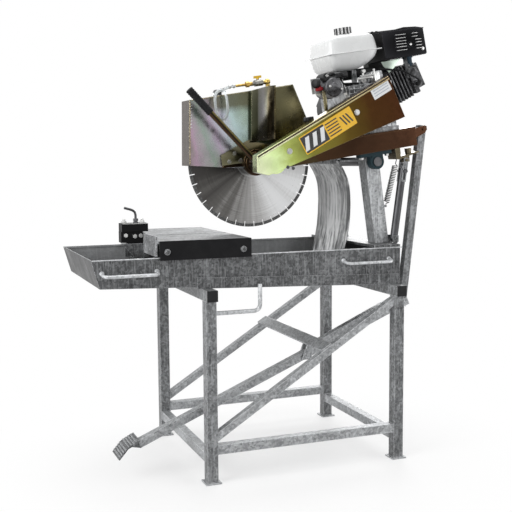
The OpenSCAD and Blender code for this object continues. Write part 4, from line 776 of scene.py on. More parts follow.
def finishes():
    """Every material by name, made once."""
    if PALETTE:
        return PALETTE
    colours = bpy.context.scene.saw_colours
    zinc = tuple(colours.zinc)
    sheet = (shade(zinc, 0.52), 0.7, (85, 85, 5), 0.45, 2.4)
    black = tuple(colours.rubber)
    PALETTE.update(
        tube=galvanised("galvanised_tube", shade(zinc, 0.85), 0.6, (60, 60, 8), 0.4, 2.1, 0.003, 3.6),
        brace=galvanised("galvanised_brace", shade(zinc, 1.7), 0.45, (30, 60, 30), 0.5, 1.7, 0.003, 2.4),
        sheet=galvanised("galvanised_sheet", *sheet, rim=6.0),
        tray=galvanised("galvanised_tray", *sheet, rim=6.0, tray=True),
        post=galvanised("galvanised_post", shade(zinc, 1.7), 0.7, (60, 60, 6), 0.4, 1.6, rim=1.8),
        table=galvanised("galvanised_table", shade(zinc, 1.05), 0.9, (5, 60, 60), 0.25, 2.2),
        plate=galvanised("galvanised_plate", shade(zinc, 0.55), 0.8, (50, 50, 9), 0.32, 2.3, rim=4.0),
        rod=galvanised("galvanised_rod", shade(zinc, 2.6), 0.6, (30, 30, 30), 0.5, 1.4, 0.0005, 1.3),
        fence=galvanised("galvanised_fence", shade(zinc, 1.5), 0.8, (8, 90, 120), 0.3, 2.4),
        belt_guard=passivated("passivated_belt_guard", (-500, 60), (110, 235), BELT_GUARD_STOPS, 0.16),
        blade_guard=blade_guard_film(),
        bronze=passivated("passivated_bronze", (-440, 60), (180, 60), BRONZE_STOPS, 0.7, (0.34, 0.22, 0.12)),
        housing=housing_film(),
        handle=painted_bands("handle_painted_reflections", (-497.5, 100.3), (-476.5, 115.7), 0.12, 30, HANDLE_REFLECTION_STOPS,
                      (0.20, 0.34)),
        gold=passivated("passivated_gold", (-500, 100), (150, 100), GOLD_STOPS, 1.0),
        rib=painted_bands("rib_film_and_painted_shade", (-443, 190), (-335.9, 172.5), 0.05, 20, RIB_FILM_AND_SHADE_STOPS, (0.16, 0.30)),
        cream=passivated("passivated_cream", (-500, 100), (60, 317), CREAM_STOPS, 0.4),
        olive=passivated("passivated_olive", (-575, 70), (-357, 155), OLIVE_STOPS, 0.5),
        # Dark brown for the painted shadow under the belt guard's lip
        line=moulded("painted_shadow_brown", (0.055, 0.034, 0.016)),
        duct=machined("duct_steel", (0.36, 0.42, 0.37), 0.3),
        bright=machined("bright_steel", (0.60, 0.60, 0.59)),
        dark_steel=machined("dark_steel", (0.10, 0.10, 0.105), 0.4),
        spring=machined("spring_steel", (0.035, 0.035, 0.038), 0.35, 0.7),
        shaft=machined("shaft_steel", (0.12, 0.12, 0.125), 0.35),
        blade=blade_steel(),
        grit=segment_grit(),
        rubber=rubber("black_rubber", black, 0.006, 0.42),
        grip=rubber("grip_rubber", black, 0.02, 0.55),
        curtain=slurry_rubber(),
        plastic=moulded("black_plastic", (0.010, 0.010, 0.011)),
        grey_plastic=moulded("grey_plastic", (0.07, 0.072, 0.075)),
        red=moulded("red_plastic", (0.50, 0.02, 0.03), 0.3),
        yellow=moulded("yellow_plastic", (0.80, 0.50, 0.03), 0.3),
        black=enamel("black_enamel", (0.006, 0.006, 0.0065), 0.42),
        bearing=enamel("bearing_paint", tuple(colours.bearing), 0.4),
        # The shield's black edges carry a strong painted highlight.
        shield=enamel("shield_enamel", (0.004, 0.004, 0.0045), 0.5, edge=0.0014, rim=60.0, gloss=0.04),
        elbow=enamel("elbow_paint", (0.035, 0.060, 0.085), 0.4),
        iron=cast("cast_iron", (0.07, 0.072, 0.075), 0.5),
        alloy=cast("cast_alloy", (0.42, 0.43, 0.44), 0.7, low=0.16, high=1.45, rim=1.9),
        dark_alloy=cast("dark_alloy", (0.10, 0.10, 0.105), 0.6, rim=3.5),
        fins=cast("fin_alloy", (0.12, 0.12, 0.125), 0.55, 0.5, 0.15, 2.4, 3.2),
        tank=tank_paint(tuple(colours.tank)),
        cap=cap_ribs(),
        brass=brassware(),
        vinyl=clear_hose(),
        weld=weld_metal(),
        ink_black=label_ink("ink_black", (0.012, 0.012, 0.012)),
        ink_yellow=label_ink("ink_yellow", tuple(colours.label)),
        ink_white=label_ink("ink_white", (0.80, 0.81, 0.82)),
        ink_grey=label_ink("ink_grey", (0.38, 0.42, 0.50)),
    )
    return PALETTE


NODE_FINISH = {
    "tube": "stand_legs top_cross_tubes push_rod strut_fork",
    "brace": "lower_rails diagonal_braces pedal_lever brace_cross_plate foot_plates",
    "sheet": "side_angle_rails cart_frame",
    "tray": "water_tray",
    "post": "pivot_posts",
    "plate": "post_base pedal_plate",
    "table": "cart_table",
    "rod": "tray_handles",
    "belt_guard": "belt_guard",
    "blade_guard": "blade_guard",
    "bronze": "head_beams engine_bed",
    "housing": "spindle_housing",
    "handle": "operating_handle",
    "gold": "rear_bracket",
    "bright": "guard_fasteners spindle_bearings spindle_shaft blade_flanges crankshaft throttle_lever",
    "cap": "fuel_cap",
    "shaft": "pivot_shaft",
    "dark_steel": "strut_tube stop_screw",
    "fence": "cart_fence",
    "spring": "return_spring",
    "blade": "blade_core",
    "grit": "blade_segments",
    "rubber": "cart_aprons drive_belts",
    "grip": "handle_grip",
    "curtain": "splash_curtain",
    "plastic": "tube_end_caps cart_wheels_left cart_wheels_right lock_knob air_cleaner",
    "grey_plastic": "recoil_starter",
    "red": "stop_switch",
    "yellow": "tap_knob",
    "black": "stop_block muffler",
    "bearing": "pillow_blocks",
    "iron": "driven_pulley engine_pulley",
    "alloy": "crankcase",
    "fins": "engine_cylinder",
    "tank": "fuel_tank",
    "brass": "water_valve",
    "vinyl": "water_hoses",
}


class SAW_OT_finishes(bpy.types.Operator):
    """Give every solid its finish"""

    bl_idname = "saw.finishes"
    bl_label = "Finishes"

    def execute(self, context):
        palette = finishes()
        for finish, nodes in NODE_FINISH.items():
            for node in nodes.split():
                solid = frame["nodes"][node]
                solid.data.materials.clear()
                solid.data.materials.append(palette[finish])
        return {"FINISHED"}


# Camera, lights and floor

CAMERA_AT = Vector((-1.3633, -3.3453, 1.1576))
CAMERA_YAW = math.radians(21.0)
CAMERA_PITCH = math.radians(-5.96)
CAMERA_ROLL = -0.0074
LENS_MM = 63.57
SENSOR_MM = 36.0

# Name, place, what it points at, size and power
LAMPS = (
    ("key", (-3.6, -1.4, 2.3), (0.0, 0.0, 0.9), 2.8, 120),
    ("fill", (2.9, -2.2, 1.7), (0.1, 0.0, 0.9), 2.0, 30),
    ("top", (0.2, 0.4, 3.8), (0.1, 0.0, 0.8), 2.6, 55),
    ("rim", (1.8, 2.8, 2.2), (0.1, 0.0, 1.1), 1.8, 40),
)


class SAW_OT_stage(bpy.types.Operator):
    """Set up the floor, the light and the camera"""

    bl_idname = "saw.stage"
    bl_label = "Stage"

    def execute(self, context):
        self.camera(context)
        self.floor()
        self.lights()
        self.world(context)
        return {"FINISHED"}

    def camera(self, context):
        bpy.ops.object.camera_add()
        camera = bpy.context.object
        camera.name = "camera"
        camera.data.lens = LENS_MM
        camera.data.sensor_width = SENSOR_MM
        level = math.cos(CAMERA_PITCH)
        ahead = Vector((math.sin(CAMERA_YAW) * level, math.cos(CAMERA_YAW) * level, math.sin(CAMERA_PITCH)))
        turn = ahead.to_track_quat("-Z", "Y").to_matrix().to_4x4() @ Matrix.Rotation(CAMERA_ROLL, 4, "Z")
        camera.matrix_world = Matrix.Translation(CAMERA_AT + Vector((STAND_SHIFT, 0, 0))) @ turn
        context.scene.camera = camera
        context.scene.view_settings.view_transform = "Standard"

    def floor(self):
        bpy.ops.mesh.primitive_grid_add(size=14, x_subdivisions=8, y_subdivisions=8, location=(0, 0, 0))
        floor = settle(bpy.context.object)
        floor.name = "floor"
        floor.data.name = "floor"
        g = Graph("floor_paper")
        away = g.times(g.vector("LENGTH", g.place)["Value"], 0.25)
        fade = g.times(g.ramp(away, [(0.06, 0.55), (0.28, 1.0)]), direct_rays(g.tree))
        glow = g.add("ShaderNodeEmission", {"Strength": 1.0}).outputs["Emission"]
        paper = g.finish(g.ramp(g.noise(3, 3), [(0.3, 0.93), (0.7, 0.95)]), 0.0, 0.6)
        blend = g.add("ShaderNodeMixShader", {0: fade, 1: g.shader.outputs["BSDF"], 2: glow})
        surface = g.tree.nodes["Material Output"].inputs["Surface"]
        g.tree.links.new(blend.outputs["Shader"], surface)
        floor.data.materials.append(paper)

    def lights(self):
        for name, at, towards, size, watts in LAMPS:
            bpy.ops.object.light_add(type="AREA", location=at)
            lamp = bpy.context.object
            lamp.name = name
            lamp.data.shape = "DISK"
            lamp.data.size = size
            lamp.data.energy = watts
            lamp.rotation_euler = (Vector(towards) - Vector(at)).to_track_quat("-Z", "Y").to_euler()

    def world(self, context):
        world = bpy.data.worlds.new("studio")
        context.scene.world = world
        world.use_nodes = True
        tree = world.node_tree
        tree.nodes.clear()
        sockets = {"Value": direct_rays(tree), "To Min": 0.30, "To Max": 1.0}
        strength = new_node(tree, "ShaderNodeMapRange", sockets).outputs["Result"]
        sky = new_node(tree, "ShaderNodeBackground", {"Color": (1.0, 1.0, 1.0, 1.0), "Strength": strength})
        new_node(tree, "ShaderNodeOutputWorld", {"Surface": sky.outputs["Background"]})


# Labels

LABEL_TURN = math.radians(21.6)
LABEL_CENTRE = (-217, 149.5)
PLATE_CENTRE = (22, 269)
FILM = 0.0005
LABEL_RIM = 0.004


def on_guard(u, w):
    """A frame on the belt guard's face: x along the label, z across it, y out of the sheet."""
    place = Matrix.Translation((u * MM, GUARD_FACE_Y, w * MM))
    return HEAD @ place @ Matrix.Rotation(-LABEL_TURN, 4, "Y")


def about(middle, half):
    """The range of half on each side of the middle."""
    return middle - half, middle + half


def film(matrix, x, z, layer=1, corner=0.0, lean=0.0):
    """A thin flat panel over x and z ranges, one layer above the last, its upper edge leaning along x."""
    face = -FILM * layer
    piece = slab((x[0], face - FILM, z[0]), (x[1], face + FILM * 0.2, z[1]))
    if corner:
        round_corners(piece, 1, corner, 5)
    for vertex in piece.data.vertices:
        vertex.co.x += lean * vertex.co.z
    return settle(piece, matrix)


class SAW_OT_labels(bpy.types.Operator):
    """Put the plain label and the blank plate on the belt guard"""

    bl_idname = "saw.labels"
    bl_label = "Labels"

    def execute(self, context):
        sizes = context.scene.saw_sizes
        length = sizes.label_length / 2
        width = sizes.label_width / 2
        split = -0.08 * length
        span = split + length - LABEL_RIM
        matrix = on_guard(*LABEL_CENTRE)
        ground = film(matrix, about(0, length), about(0, width), 0, LABEL_RIM)
        dress("label_ground", [ground], "ink_yellow", "head")
        panel = film(matrix, (LABEL_RIM - length, split), about(0, width - LABEL_RIM))
        dress("label_panel", [panel], "ink_black", "head")
        stripes = []
        for i in range(3):
            middle = LABEL_RIM - length + span * (i + 0.5) / 3
            stripes.append(film(matrix, about(middle, 0.009), about(0, width - 0.012), 2, lean=0.45))
        dress("label_stripes", stripes, "ink_white", "head")
        rules = []
        for i in range(5):
            height = about(width - 0.012 - i * 0.0118, 0.0022)
            rules.append(film(matrix, (split + 0.006, split + 0.060), height))
        for i in range(3):
            bar = about(length - 0.048 + i * 0.014, 0.003)
            rules.append(film(matrix, bar, about(0, width - 0.016), lean=-0.35))
        dress("label_rules", rules, "ink_black", "head")
        half = sizes.plate_length / 2
        matrix = on_guard(*PLATE_CENTRE)
        blank = film(matrix, about(0, half), about(0, sizes.plate_width / 2), 0, 0.003)
        dress("blank_plate", [blank], "ink_white", "head")
        lines = [film(matrix, about(0, half - 0.008), about(z, 0.0012)) for z in (-0.010, 0.0, 0.010)]
        dress("plate_lines", lines, "ink_grey", "head")
        return {"FINISHED"}


# Stand

LEG = 0.040
WELD_PITCH = 0.0035
WELD_RIPPLE = 0.16
HOOK_DROP = 0.617
HEM_RADIUS = 0.0022


def bead(points, radius):
    """A weld bead along the points, thick and thin by turns."""
    return tube(points, radius, 1, 60, WELD_RIPPLE)


def weld_ring(centre, along, across, half, radius):
    """A rippled bead round a square joint."""
    signs = ((1, 1), (-1, 1), (-1, -1), (1, -1))
    corners = [Vector(centre) + (along * a + across * b) * half for a, b in signs]
    points = []
    for start, end in zip(corners, corners[1:] + corners[:1]):
        count = max(2, int((end - start).length / WELD_PITCH))
        points += [start.lerp(end, i / count) for i in range(count)]
    return bead(points + points[:1], radius)


class SAW_OT_welds(bpy.types.Operator):
    """Run weld beads round the stand's joints"""

    bl_idname = "saw.welds"
    bl_label = "Welds"

    def execute(self, context):
        radius = context.scene.saw_sizes.weld_radius
        low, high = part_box("stand_legs")
        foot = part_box("foot_plates")[1].z
        bottom, top = (corner.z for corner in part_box("lower_rails"))
        half = (top - bottom) / 4
        x_axis, y_axis, z_axis = Matrix.Identity(3)
        beads = []
        for x, inner in ((low.x + LEG / 2, 1), (high.x - LEG / 2, -1)):
            for y, side in ((low.y + LEG / 2, 1), (high.y - LEG / 2, -1)):
                face = (x + inner * LEG / 2, y, top - half)
                beads.append(weld_ring((x, y, foot), x_axis, y_axis, LEG / 2, radius))
                beads.append(weld_ring(face, y_axis, z_axis, half, radius * 0.8))
                face = (x, y + side * LEG / 2, bottom + half)
                beads.append(weld_ring(face, x_axis, z_axis, half, radius * 0.8))
        dress("stand_welds", beads, "weld", "stand")
        return {"FINISHED"}


class SAW_OT_handles(bpy.types.Operator):
    """Bend the tray's carrying handles and the hook from round bar"""

    bl_idname = "saw.handles"
    bl_label = "Handles"

    def execute(self, context):
        radius = context.scene.saw_sizes.rod_radius
        size = radius / MM
        low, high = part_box("water_tray")
        wall = low.y
        rods = []
        for start, z in ((low.x + 0.037, 0.779), (STAND_SHIFT + 0.164, 0.783)):
            end = start + 0.194
            for side in (1, -1):
                y = side * wall
                grip = side * (wall - 0.034)
                low_z = z - 0.009
                corners = [(start, y, z), (start + 0.001, grip, low_z), (end, grip, low_z), (end, y, z)]
                rods.append(tube(rounded_points(corners, 0.018), radius))
                for x in (start, end):
                    profile = [(0, size * 1.45), (2, size * 1.4), (5, size * 1.1)]
                    rods.append(turned((x, y, z), profile, 20, (0, -side, 0)))
        x = STAND_SHIFT - 0.181
        y = wall - 0.0135
        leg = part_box("stand_legs")[0].x + LEG
        hook = rounded_points([(x, y, 0.715), (x, y, HOOK_DROP), (leg, y, HOOK_DROP)], 0.026)
        rods.append(tube(hook, 0.0078))
        # A rolled hem along the tray's rim, in bright rod, that also stands as the rim's painted highlight
        # line.
        rim = high.z - HEM_RADIUS
        ends = [Vector((low.x + 0.003, side * (wall + 0.0010), rim)) for side in (1, -1)]
        for end in ends:
            rods.append(tube([end, Vector((high.x - 0.002, end.y, rim))], HEM_RADIUS, 3))
        rods.append(tube(ends, HEM_RADIUS, 3))
        dress("bent_rods", rods, "rod", "stand", "tray_handles")
        return {"FINISHED"}


class SAW_OT_curtain(bpy.types.Operator):
    """Hang the rubber splash curtain with its ripples"""

    bl_idname = "saw.curtain"
    bl_label = "Curtain"

    def execute(self, context):
        line = [(206, 1162), (222, 1146), (238, 1122), (252, 1094), (261, 1064), (265, 1030), (266, 990),
                (264, 940), (259, 890), (250, 845), (241, 808), (232, 772)]
        line = [Vector((STAND_SHIFT + (x - 2.5) * MM, 0, z * MM)) for x, z in line]
        lengths = [0.0]
        for before, after in zip(line, line[1:]):
            lengths.append(lengths[-1] + (after - before).length)
        half = 0.148
        let_go()
        bpy.ops.mesh.primitive_grid_add(size=2, x_subdivisions=44, y_subdivisions=64)
        curtain = bpy.context.object
        for vertex in curtain.data.vertices:
            across = vertex.co.x
            down = (1 - vertex.co.y) / 2
            at = down * lengths[-1]
            k = max(i for i, reached in enumerate(lengths[:-1]) if reached <= at + 1e-9)
            share = (at - lengths[k]) / (lengths[k + 1] - lengths[k])
            spot = line[k].lerp(line[k + 1], share)
            wave = 0.0020 * math.sin(across * 5.2 + 3.0 * down) + 0.0012 * math.sin(across * 11 + 1.3)
            spot.x += wave * (0.15 + 0.85 * down) * (1.0 if down > 0.04 else 0.2)
            spot.y = across * half * (1.0 - 0.012 * math.sin(math.pi * down * 2.3))
            vertex.co = spot
        modify(curtain, "SOLIDIFY", thickness=0.0045, offset=0.0)
        modify(curtain, "SUBSURF", levels=1, render_levels=1)
        smooth(outward(curtain), 50)
        dress("curtain", [curtain], "curtain", "stand", "splash_curtain")
        x = STAND_SHIFT + 0.196
        clamp = [slab((x, -0.150, 1.146), (x + 0.005, 0.150, 1.166), 0.001)]
        for y in (-0.11, -0.037, 0.037, 0.11):
            clamp.append(turned((x, y, 1.156), [(0, 7), (4, 7), (5, 6)], 6, (-1, 0, 0)))
        dress("curtain_clamp", clamp, "plate", "stand")
        return {"FINISHED"}


class SAW_OT_stop(bpy.types.Operator):
    """Fit the work stop's bolts, nuts and edge strips"""

    bl_idname = "saw.stop"
    bl_label = "Work stop"

    def execute(self, context):
        low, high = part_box("stop_block")
        screw_low, screw_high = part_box("stop_screw")
        centre = (low.y + high.y) / 2
        pieces = []
        for x, z in ((0.018, 0.050), (0.052, 0.054), (0.074, 0.052)):
            pieces.append(turned((low.x + x, low.y + 0.007, high.z - z), bolt(8.5, 6.5, 6)))
        for x in (0.016, 0.084):
            nut = [(0, 9.5), (10, 9.5), (10.5, 5.5), (17, 5.5)]
            pieces.append(turned((low.x + x, centre, high.z - 0.008), nut, 6, UP))
        for y in (low.y + 0.001, high.y - 0.001):
            start = (low.x + 0.003, y - 0.001, high.z - 0.0085)
            pieces.append(slab(start, (low.x + 0.099, y + 0.001, high.z - 0.0055)))
        dress("stop_fixings", pieces, "bright", "cart")
        stack = []
        for height in (0.026, 0.037):
            at = (screw_high.x - 0.006, centre, screw_low.z + height)
            stack.append(turned(at, [(0, 10), (9, 10), (9.5, 8)], 6, UP))
        dress("stop_nuts", stack, "shaft", "cart")
        return {"FINISHED"}


class SAW_OT_tread(bpy.types.Operator):
    """Cut the grid of ridges on the pedal's tread"""

    bl_idname = "saw.tread"
    bl_label = "Pedal tread"

    def execute(self, context):
        pitch = context.scene.saw_sizes.tread_pitch
        ridge = Vector((STAND_SHIFT - 0.664, 0, 0.132))
        near, far = (corner.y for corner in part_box("pedal_plate"))
        columns = int((far - near) / pitch)
        teeth = []
        for end, side in ((Vector((-0.033, 0, -0.038)), -1), (Vector((0.046, 0, 0.024)), 1)):
            along = end.normalized()
            up = Vector((-along.z, 0, along.x)) * side
            basis = Matrix((along, Vector((0, 1, 0)), up)).transposed().to_4x4()
            for i in range(int(end.length / pitch)):
                at = ridge + along * (pitch * (i + 0.7)) + up * 0.0042
                for j in range(columns):
                    y = near + (j + 0.5) * (far - near) / columns
                    tooth = slab((-0.0036, -0.0036, -0.002), (0.0036, 0.0036, 0.0020), 0.0012, 1)
                    teeth.append(settle(tooth, Matrix.Translation((at.x, y, at.z)) @ basis))
        dress("tread_teeth", teeth, "tube", "pedal")
        return {"FINISHED"}


# Head


class SAW_OT_grip(bpy.types.Operator):
    """Turn the ribbed rubber grip and the lock knob"""

    bl_idname = "saw.grip"
    bl_label = "Grip and knob"

    def execute(self, context):
        direction = Vector((-0.593, 0, 0.805)).normalized()
        start = Vector((-487, -150, 108)) + direction * 208
        radius = 14.6
        profile = [(0.0, 12.5), (0.6, radius)]
        for i in range(13):
            at = 4 + 8.5 * i
            profile += [(at, radius), (at + 1, radius - 1.6), (at + 3.4, radius - 1.6), (at + 4.4, radius)]
        profile += [(114, radius), (117, radius - 2), (118, 6)]
        fit("ribbed_grip", [turned(start * MM, profile, 36, direction)], "grip", "handle_grip")
        low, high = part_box("lock_knob")
        stem = turned(mm(0, 0, 92), [(0, 4.8), (100, 4.8)], 20, UP)
        let_go()
        bpy.ops.mesh.primitive_cylinder_add(vertices=48, radius=0.0195, depth=0.016, location=(0, 0, 0.2))
        lobes = settle(bpy.context.object)
        for vertex in lobes.data.vertices:
            angle = math.atan2(vertex.co.y, vertex.co.x)
            reach = 1 + 0.10 * math.cos(angle * 6)
            vertex.co.x *= reach
            vertex.co.y *= reach
        smooth(bevelled(lobes, 0.003, 3))
        centre = Matrix.Translation((-258 * MM, (low.y + high.y) / 2, 0))
        knob = [settle(piece, centre) for piece in (stem, lobes)]
        fit("lobed_knob", knob, "plastic", "lock_knob", body="lock_knob")
        return {"FINISHED"}


class SAW_OT_hoses(bpy.types.Operator):
    """Lay the clear water hoses with their clips"""

    bl_idname = "saw.hoses"
    bl_label = "Hoses"

    def execute(self, context):
        radius = context.scene.saw_sizes.hose_radius
        low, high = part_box("blade_guard")
        face = (high.y - low.y) / 2 / MM
        x, y, z = -524, BLADE_Y / MM, 353
        feed = [(-470, -70, 362), (-482, -70, 362), (-494, -69, 361), (-508, -66, 358), (-519, -60, 355),
                (-524, -52, 353)]
        loop = [(-528, -84, 353), (-543, -90, 353), (-556, -97, 349), (-565, -103, 341), (-572, -108, 322),
                (-574, -110, 302), (-574, -111, 282), (-570, -110, 264), (-562, -104, 250), (-550, -98, 241)]
        branch = [(-526, -86, 350), (-525, -98, 342), (-525, -106, 325), (-526, -110, 310),
                  (-527, -111, 292), (-529, -110, 274), (-535, -105, 256), (-545, -98, 243)]
        drop = [(38, 353), (46, 353), (54, 350), (60, 343), (63, 332), (63, 310), (62, 290), (61, 272),
                (60, 262), (57, 253), (53, 247)]
        drop = [(x - (z - w) * 0.04, y + out * (face + 10) / 60, w) for out, w in drop]
        hoses = [tube([mm(*point) for point in points], radius, 4) for points in (feed, loop, branch, drop)]
        fit("clear_hoses", hoses, "vinyl", "water_hoses")
        profile = [(0, 6), (2, 7.5), (20, 7.5), (21, 6.2), (71, 6.2), (72, 7.5), (90, 7.5), (92, 6)]
        bar = turned(mm(x, y - 46, z), profile, 24, BACK)
        saddle = slab(mm(x - 7, y - 12, 335), mm(x + 7, y + 12, 349), 0.0015)
        fit("hose_tee", [bar, saddle], "grey_plastic")
        clips = []
        for u in (-474, -490):
            profile = [(0, 6.2), (0.5, 7.2), (5.5, 7.2), (6, 6.2)]
            clips.append(turned(mm(u, -70, 362), profile, 24, (-1, 0, 0)))
        for side, u, w in ((-1, -548, 240), (1, x + 4.2, 247)):
            at = mm(u, y + side * (face - 0.2), w)
            clips.append(turned(at, [(0, 9), (4, 9), (4.5, 6.5), (9, 6.5)], 6, (0, side, 0)))
        fit("hose_clips", clips, "bright")
        return {"FINISHED"}


class SAW_OT_guard_trim(bpy.types.Operator):
    """Fold the lips and run the seams of both guards"""

    bl_idname = "saw.guard_trim"
    bl_label = "Guard trim"

    def execute(self, context):
        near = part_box("blade_guard")[0].y / MM + 20
        outline = [mm(u, near, w) for u, w in ((-700, 93), (-661, 334), (-236, 339), (-156, 60))]
        seams = []
        for start, end in zip(outline, outline[1:]):
            inward = mm(-430, near, 200) - (start + end) / 2
            inward -= inward.project(end - start)
            inset = inward.normalized() * 0.003
            count = int((end - start).length / 0.004)
            points = [start.lerp(end, 0.02 + 0.96 * i / count) + inset for i in range(count + 1)]
            seams.append(bead(points, 0.0016))
        fit("guard_seams", seams, "gold")
        notches = []
        for i in range(9):
            t = 0.57 + 0.0465 * i
            u, w = 39 * t - 700, 241 * t + 93
            notches.append(slab(mm(u + 4, near - 1, w), mm(u + 11, near + 0.2, w + 5), 0.0004, 1))
        fit("guard_notches", notches, "bright")
        self.rib(near)
        corners = [(-575, 73), (-573, 114), (-534, 128), (-452, 155), (-401, 135), (-357, 120), (-361, 94),
                   (-435, 70)]
        fit("gusset", [plate(corners, -86, -79, 0.0015)], "olive")
        self.lip()
        return {"FINISHED"}

    def rib(self, near):
        """The pressed rib's cover, with sloping sides that run out on the plate."""
        let_go()
        bpy.ops.mesh.primitive_grid_add(size=2, x_subdivisions=3, y_subdivisions=1)
        cover = bpy.context.object
        profile = [(-446, 0.0), (-440.5, -20.9), (-376, -20.9), (-333, -0.5)]
        rows = [(148, 148, 142, 142), (337, 337, 345, 345)]
        for i, vertex in enumerate(cover.data.vertices):
            u, y = profile[i % 4]
            w = rows[i // 4][i % 4]
            vertex.co = mm(u + (w - 190) * 18 / 110, near + y, w)
        modify(cover, "SOLIDIFY", thickness=0.0012, offset=0.0)
        fit("rib_cover", [smooth(bevelled(outward(cover), 0.0015))], "rib")

    def lip(self):
        """The belt guard's rolled top lip, a painted shadow as a dark line below its edge, and the bright
        wire on it.
        """
        face = GUARD_FACE_Y / MM
        line = Vector((570, 0, 216)).normalized()
        down = Vector((line.z, 0, -line.x))
        ends = [Vector((-509, face - 0.4, 100)), Vector((58, face - 0.4, 315))]
        runs = []
        for drop, size in ((10.5, 0.003), (1, 0.0012)):
            runs.append(tube([(end + down * drop) * MM for end in ends], size, 4))
        runs.append(tube([ends[0] * MM, (ends[0] + Vector((6, 0, -38))) * MM], 0.0014, 3))
        fit("guard_roll", runs, "cream")
        # Painted shadow: a dark strip below the lip's edge.
        corners = [ends[0] + down * 2, ends[1] + down * 2, ends[1] + down * 8, ends[0] + down * 8]
        fit("shadow", [plate([(point.x, point.z) for point in corners], face - 0.5, face + 0.2)], "line")
        bolts = [turned(mm(u, face, w), bolt(7, 5, 5)) for u, w in ((-397, 41), (-377, 34))]
        fit("guard_bolts", bolts, "shaft")


# Engine

# How square the tank's rounded sides are: 2 would make it an ellipsoid
TANK_SQUARENESS = 8.0


class SAW_OT_tank(bpy.types.Operator):
    """Press the fuel tank's two halves and its seam"""

    bl_idname = "saw.tank"
    bl_label = "Fuel tank"

    def execute(self, context):
        length, width, height, seam = 0.230, 0.226, 0.142, 0.069
        let_go()
        bpy.ops.mesh.primitive_cube_add(size=2)
        tank = bpy.context.object
        bpy.ops.object.mode_set(mode="EDIT")
        bpy.ops.mesh.select_all(action="SELECT")
        bpy.ops.mesh.subdivide(number_cuts=11)
        bpy.ops.object.mode_set(mode="OBJECT")
        for vertex in tank.data.vertices:
            reach = sum(abs(part) ** TANK_SQUARENESS for part in vertex.co) ** (1 / TANK_SQUARENESS)
            x, y, z = ((part / reach + 1) / 2 for part in vertex.co)
            z = z * height / seam - 1
            # The crown narrows a little, and the belly slopes up towards the cylinder
            if z > 0:
                rise = z * seam / (height - seam)
                x += (0.5 - x) * 0.08 * rise
                y += (0.5 - y) * 0.10 * rise
                level = height - 0.004 * abs(x - 0.4) * 2 * rise
                z = seam + rise * (level - seam)
            else:
                drop = -z
                slope = max(0.0, x - 0.5) * 2
                z = seam - seam * drop + 0.042 * drop * slope ** 1.6
                x -= 0.06 * drop * slope
                x += 0.055 * drop * max(0.0, 0.5 - x) * 2
                y += (0.5 - y) * 0.07 * drop
            vertex.co = Vector((0.005 + x * (length - 0.010), 0.005 + y * (width - 0.010), z))
        modify(tank, "SUBSURF", levels=1, render_levels=1)
        smooth(tank, 60)
        flange = round_corners(slab((0, 0, seam - 0.002), (length, width, seam + 0.002)), 2, 0.026, 8)
        smooth(bevelled(flange, 0.0014, angle_limit=math.radians(60)), 50)
        neck = turned((0.126, width / 2, height - 0.012), [(0, 30), (6, 29), (10, 26), (16.5, 26)], 40, UP)
        place = Matrix.Translation(mm(-102, -156, 360))
        fit("pressed_tank", [settle(piece, place) for piece in (tank, flange, neck)], "tank", "fuel_tank")
        return {"FINISHED"}


def lead(points, bend, radius):
    """A wire or hose of the head through points in millimetres."""
    return tube(rounded_points([mm(*point) for point in points], bend), radius)


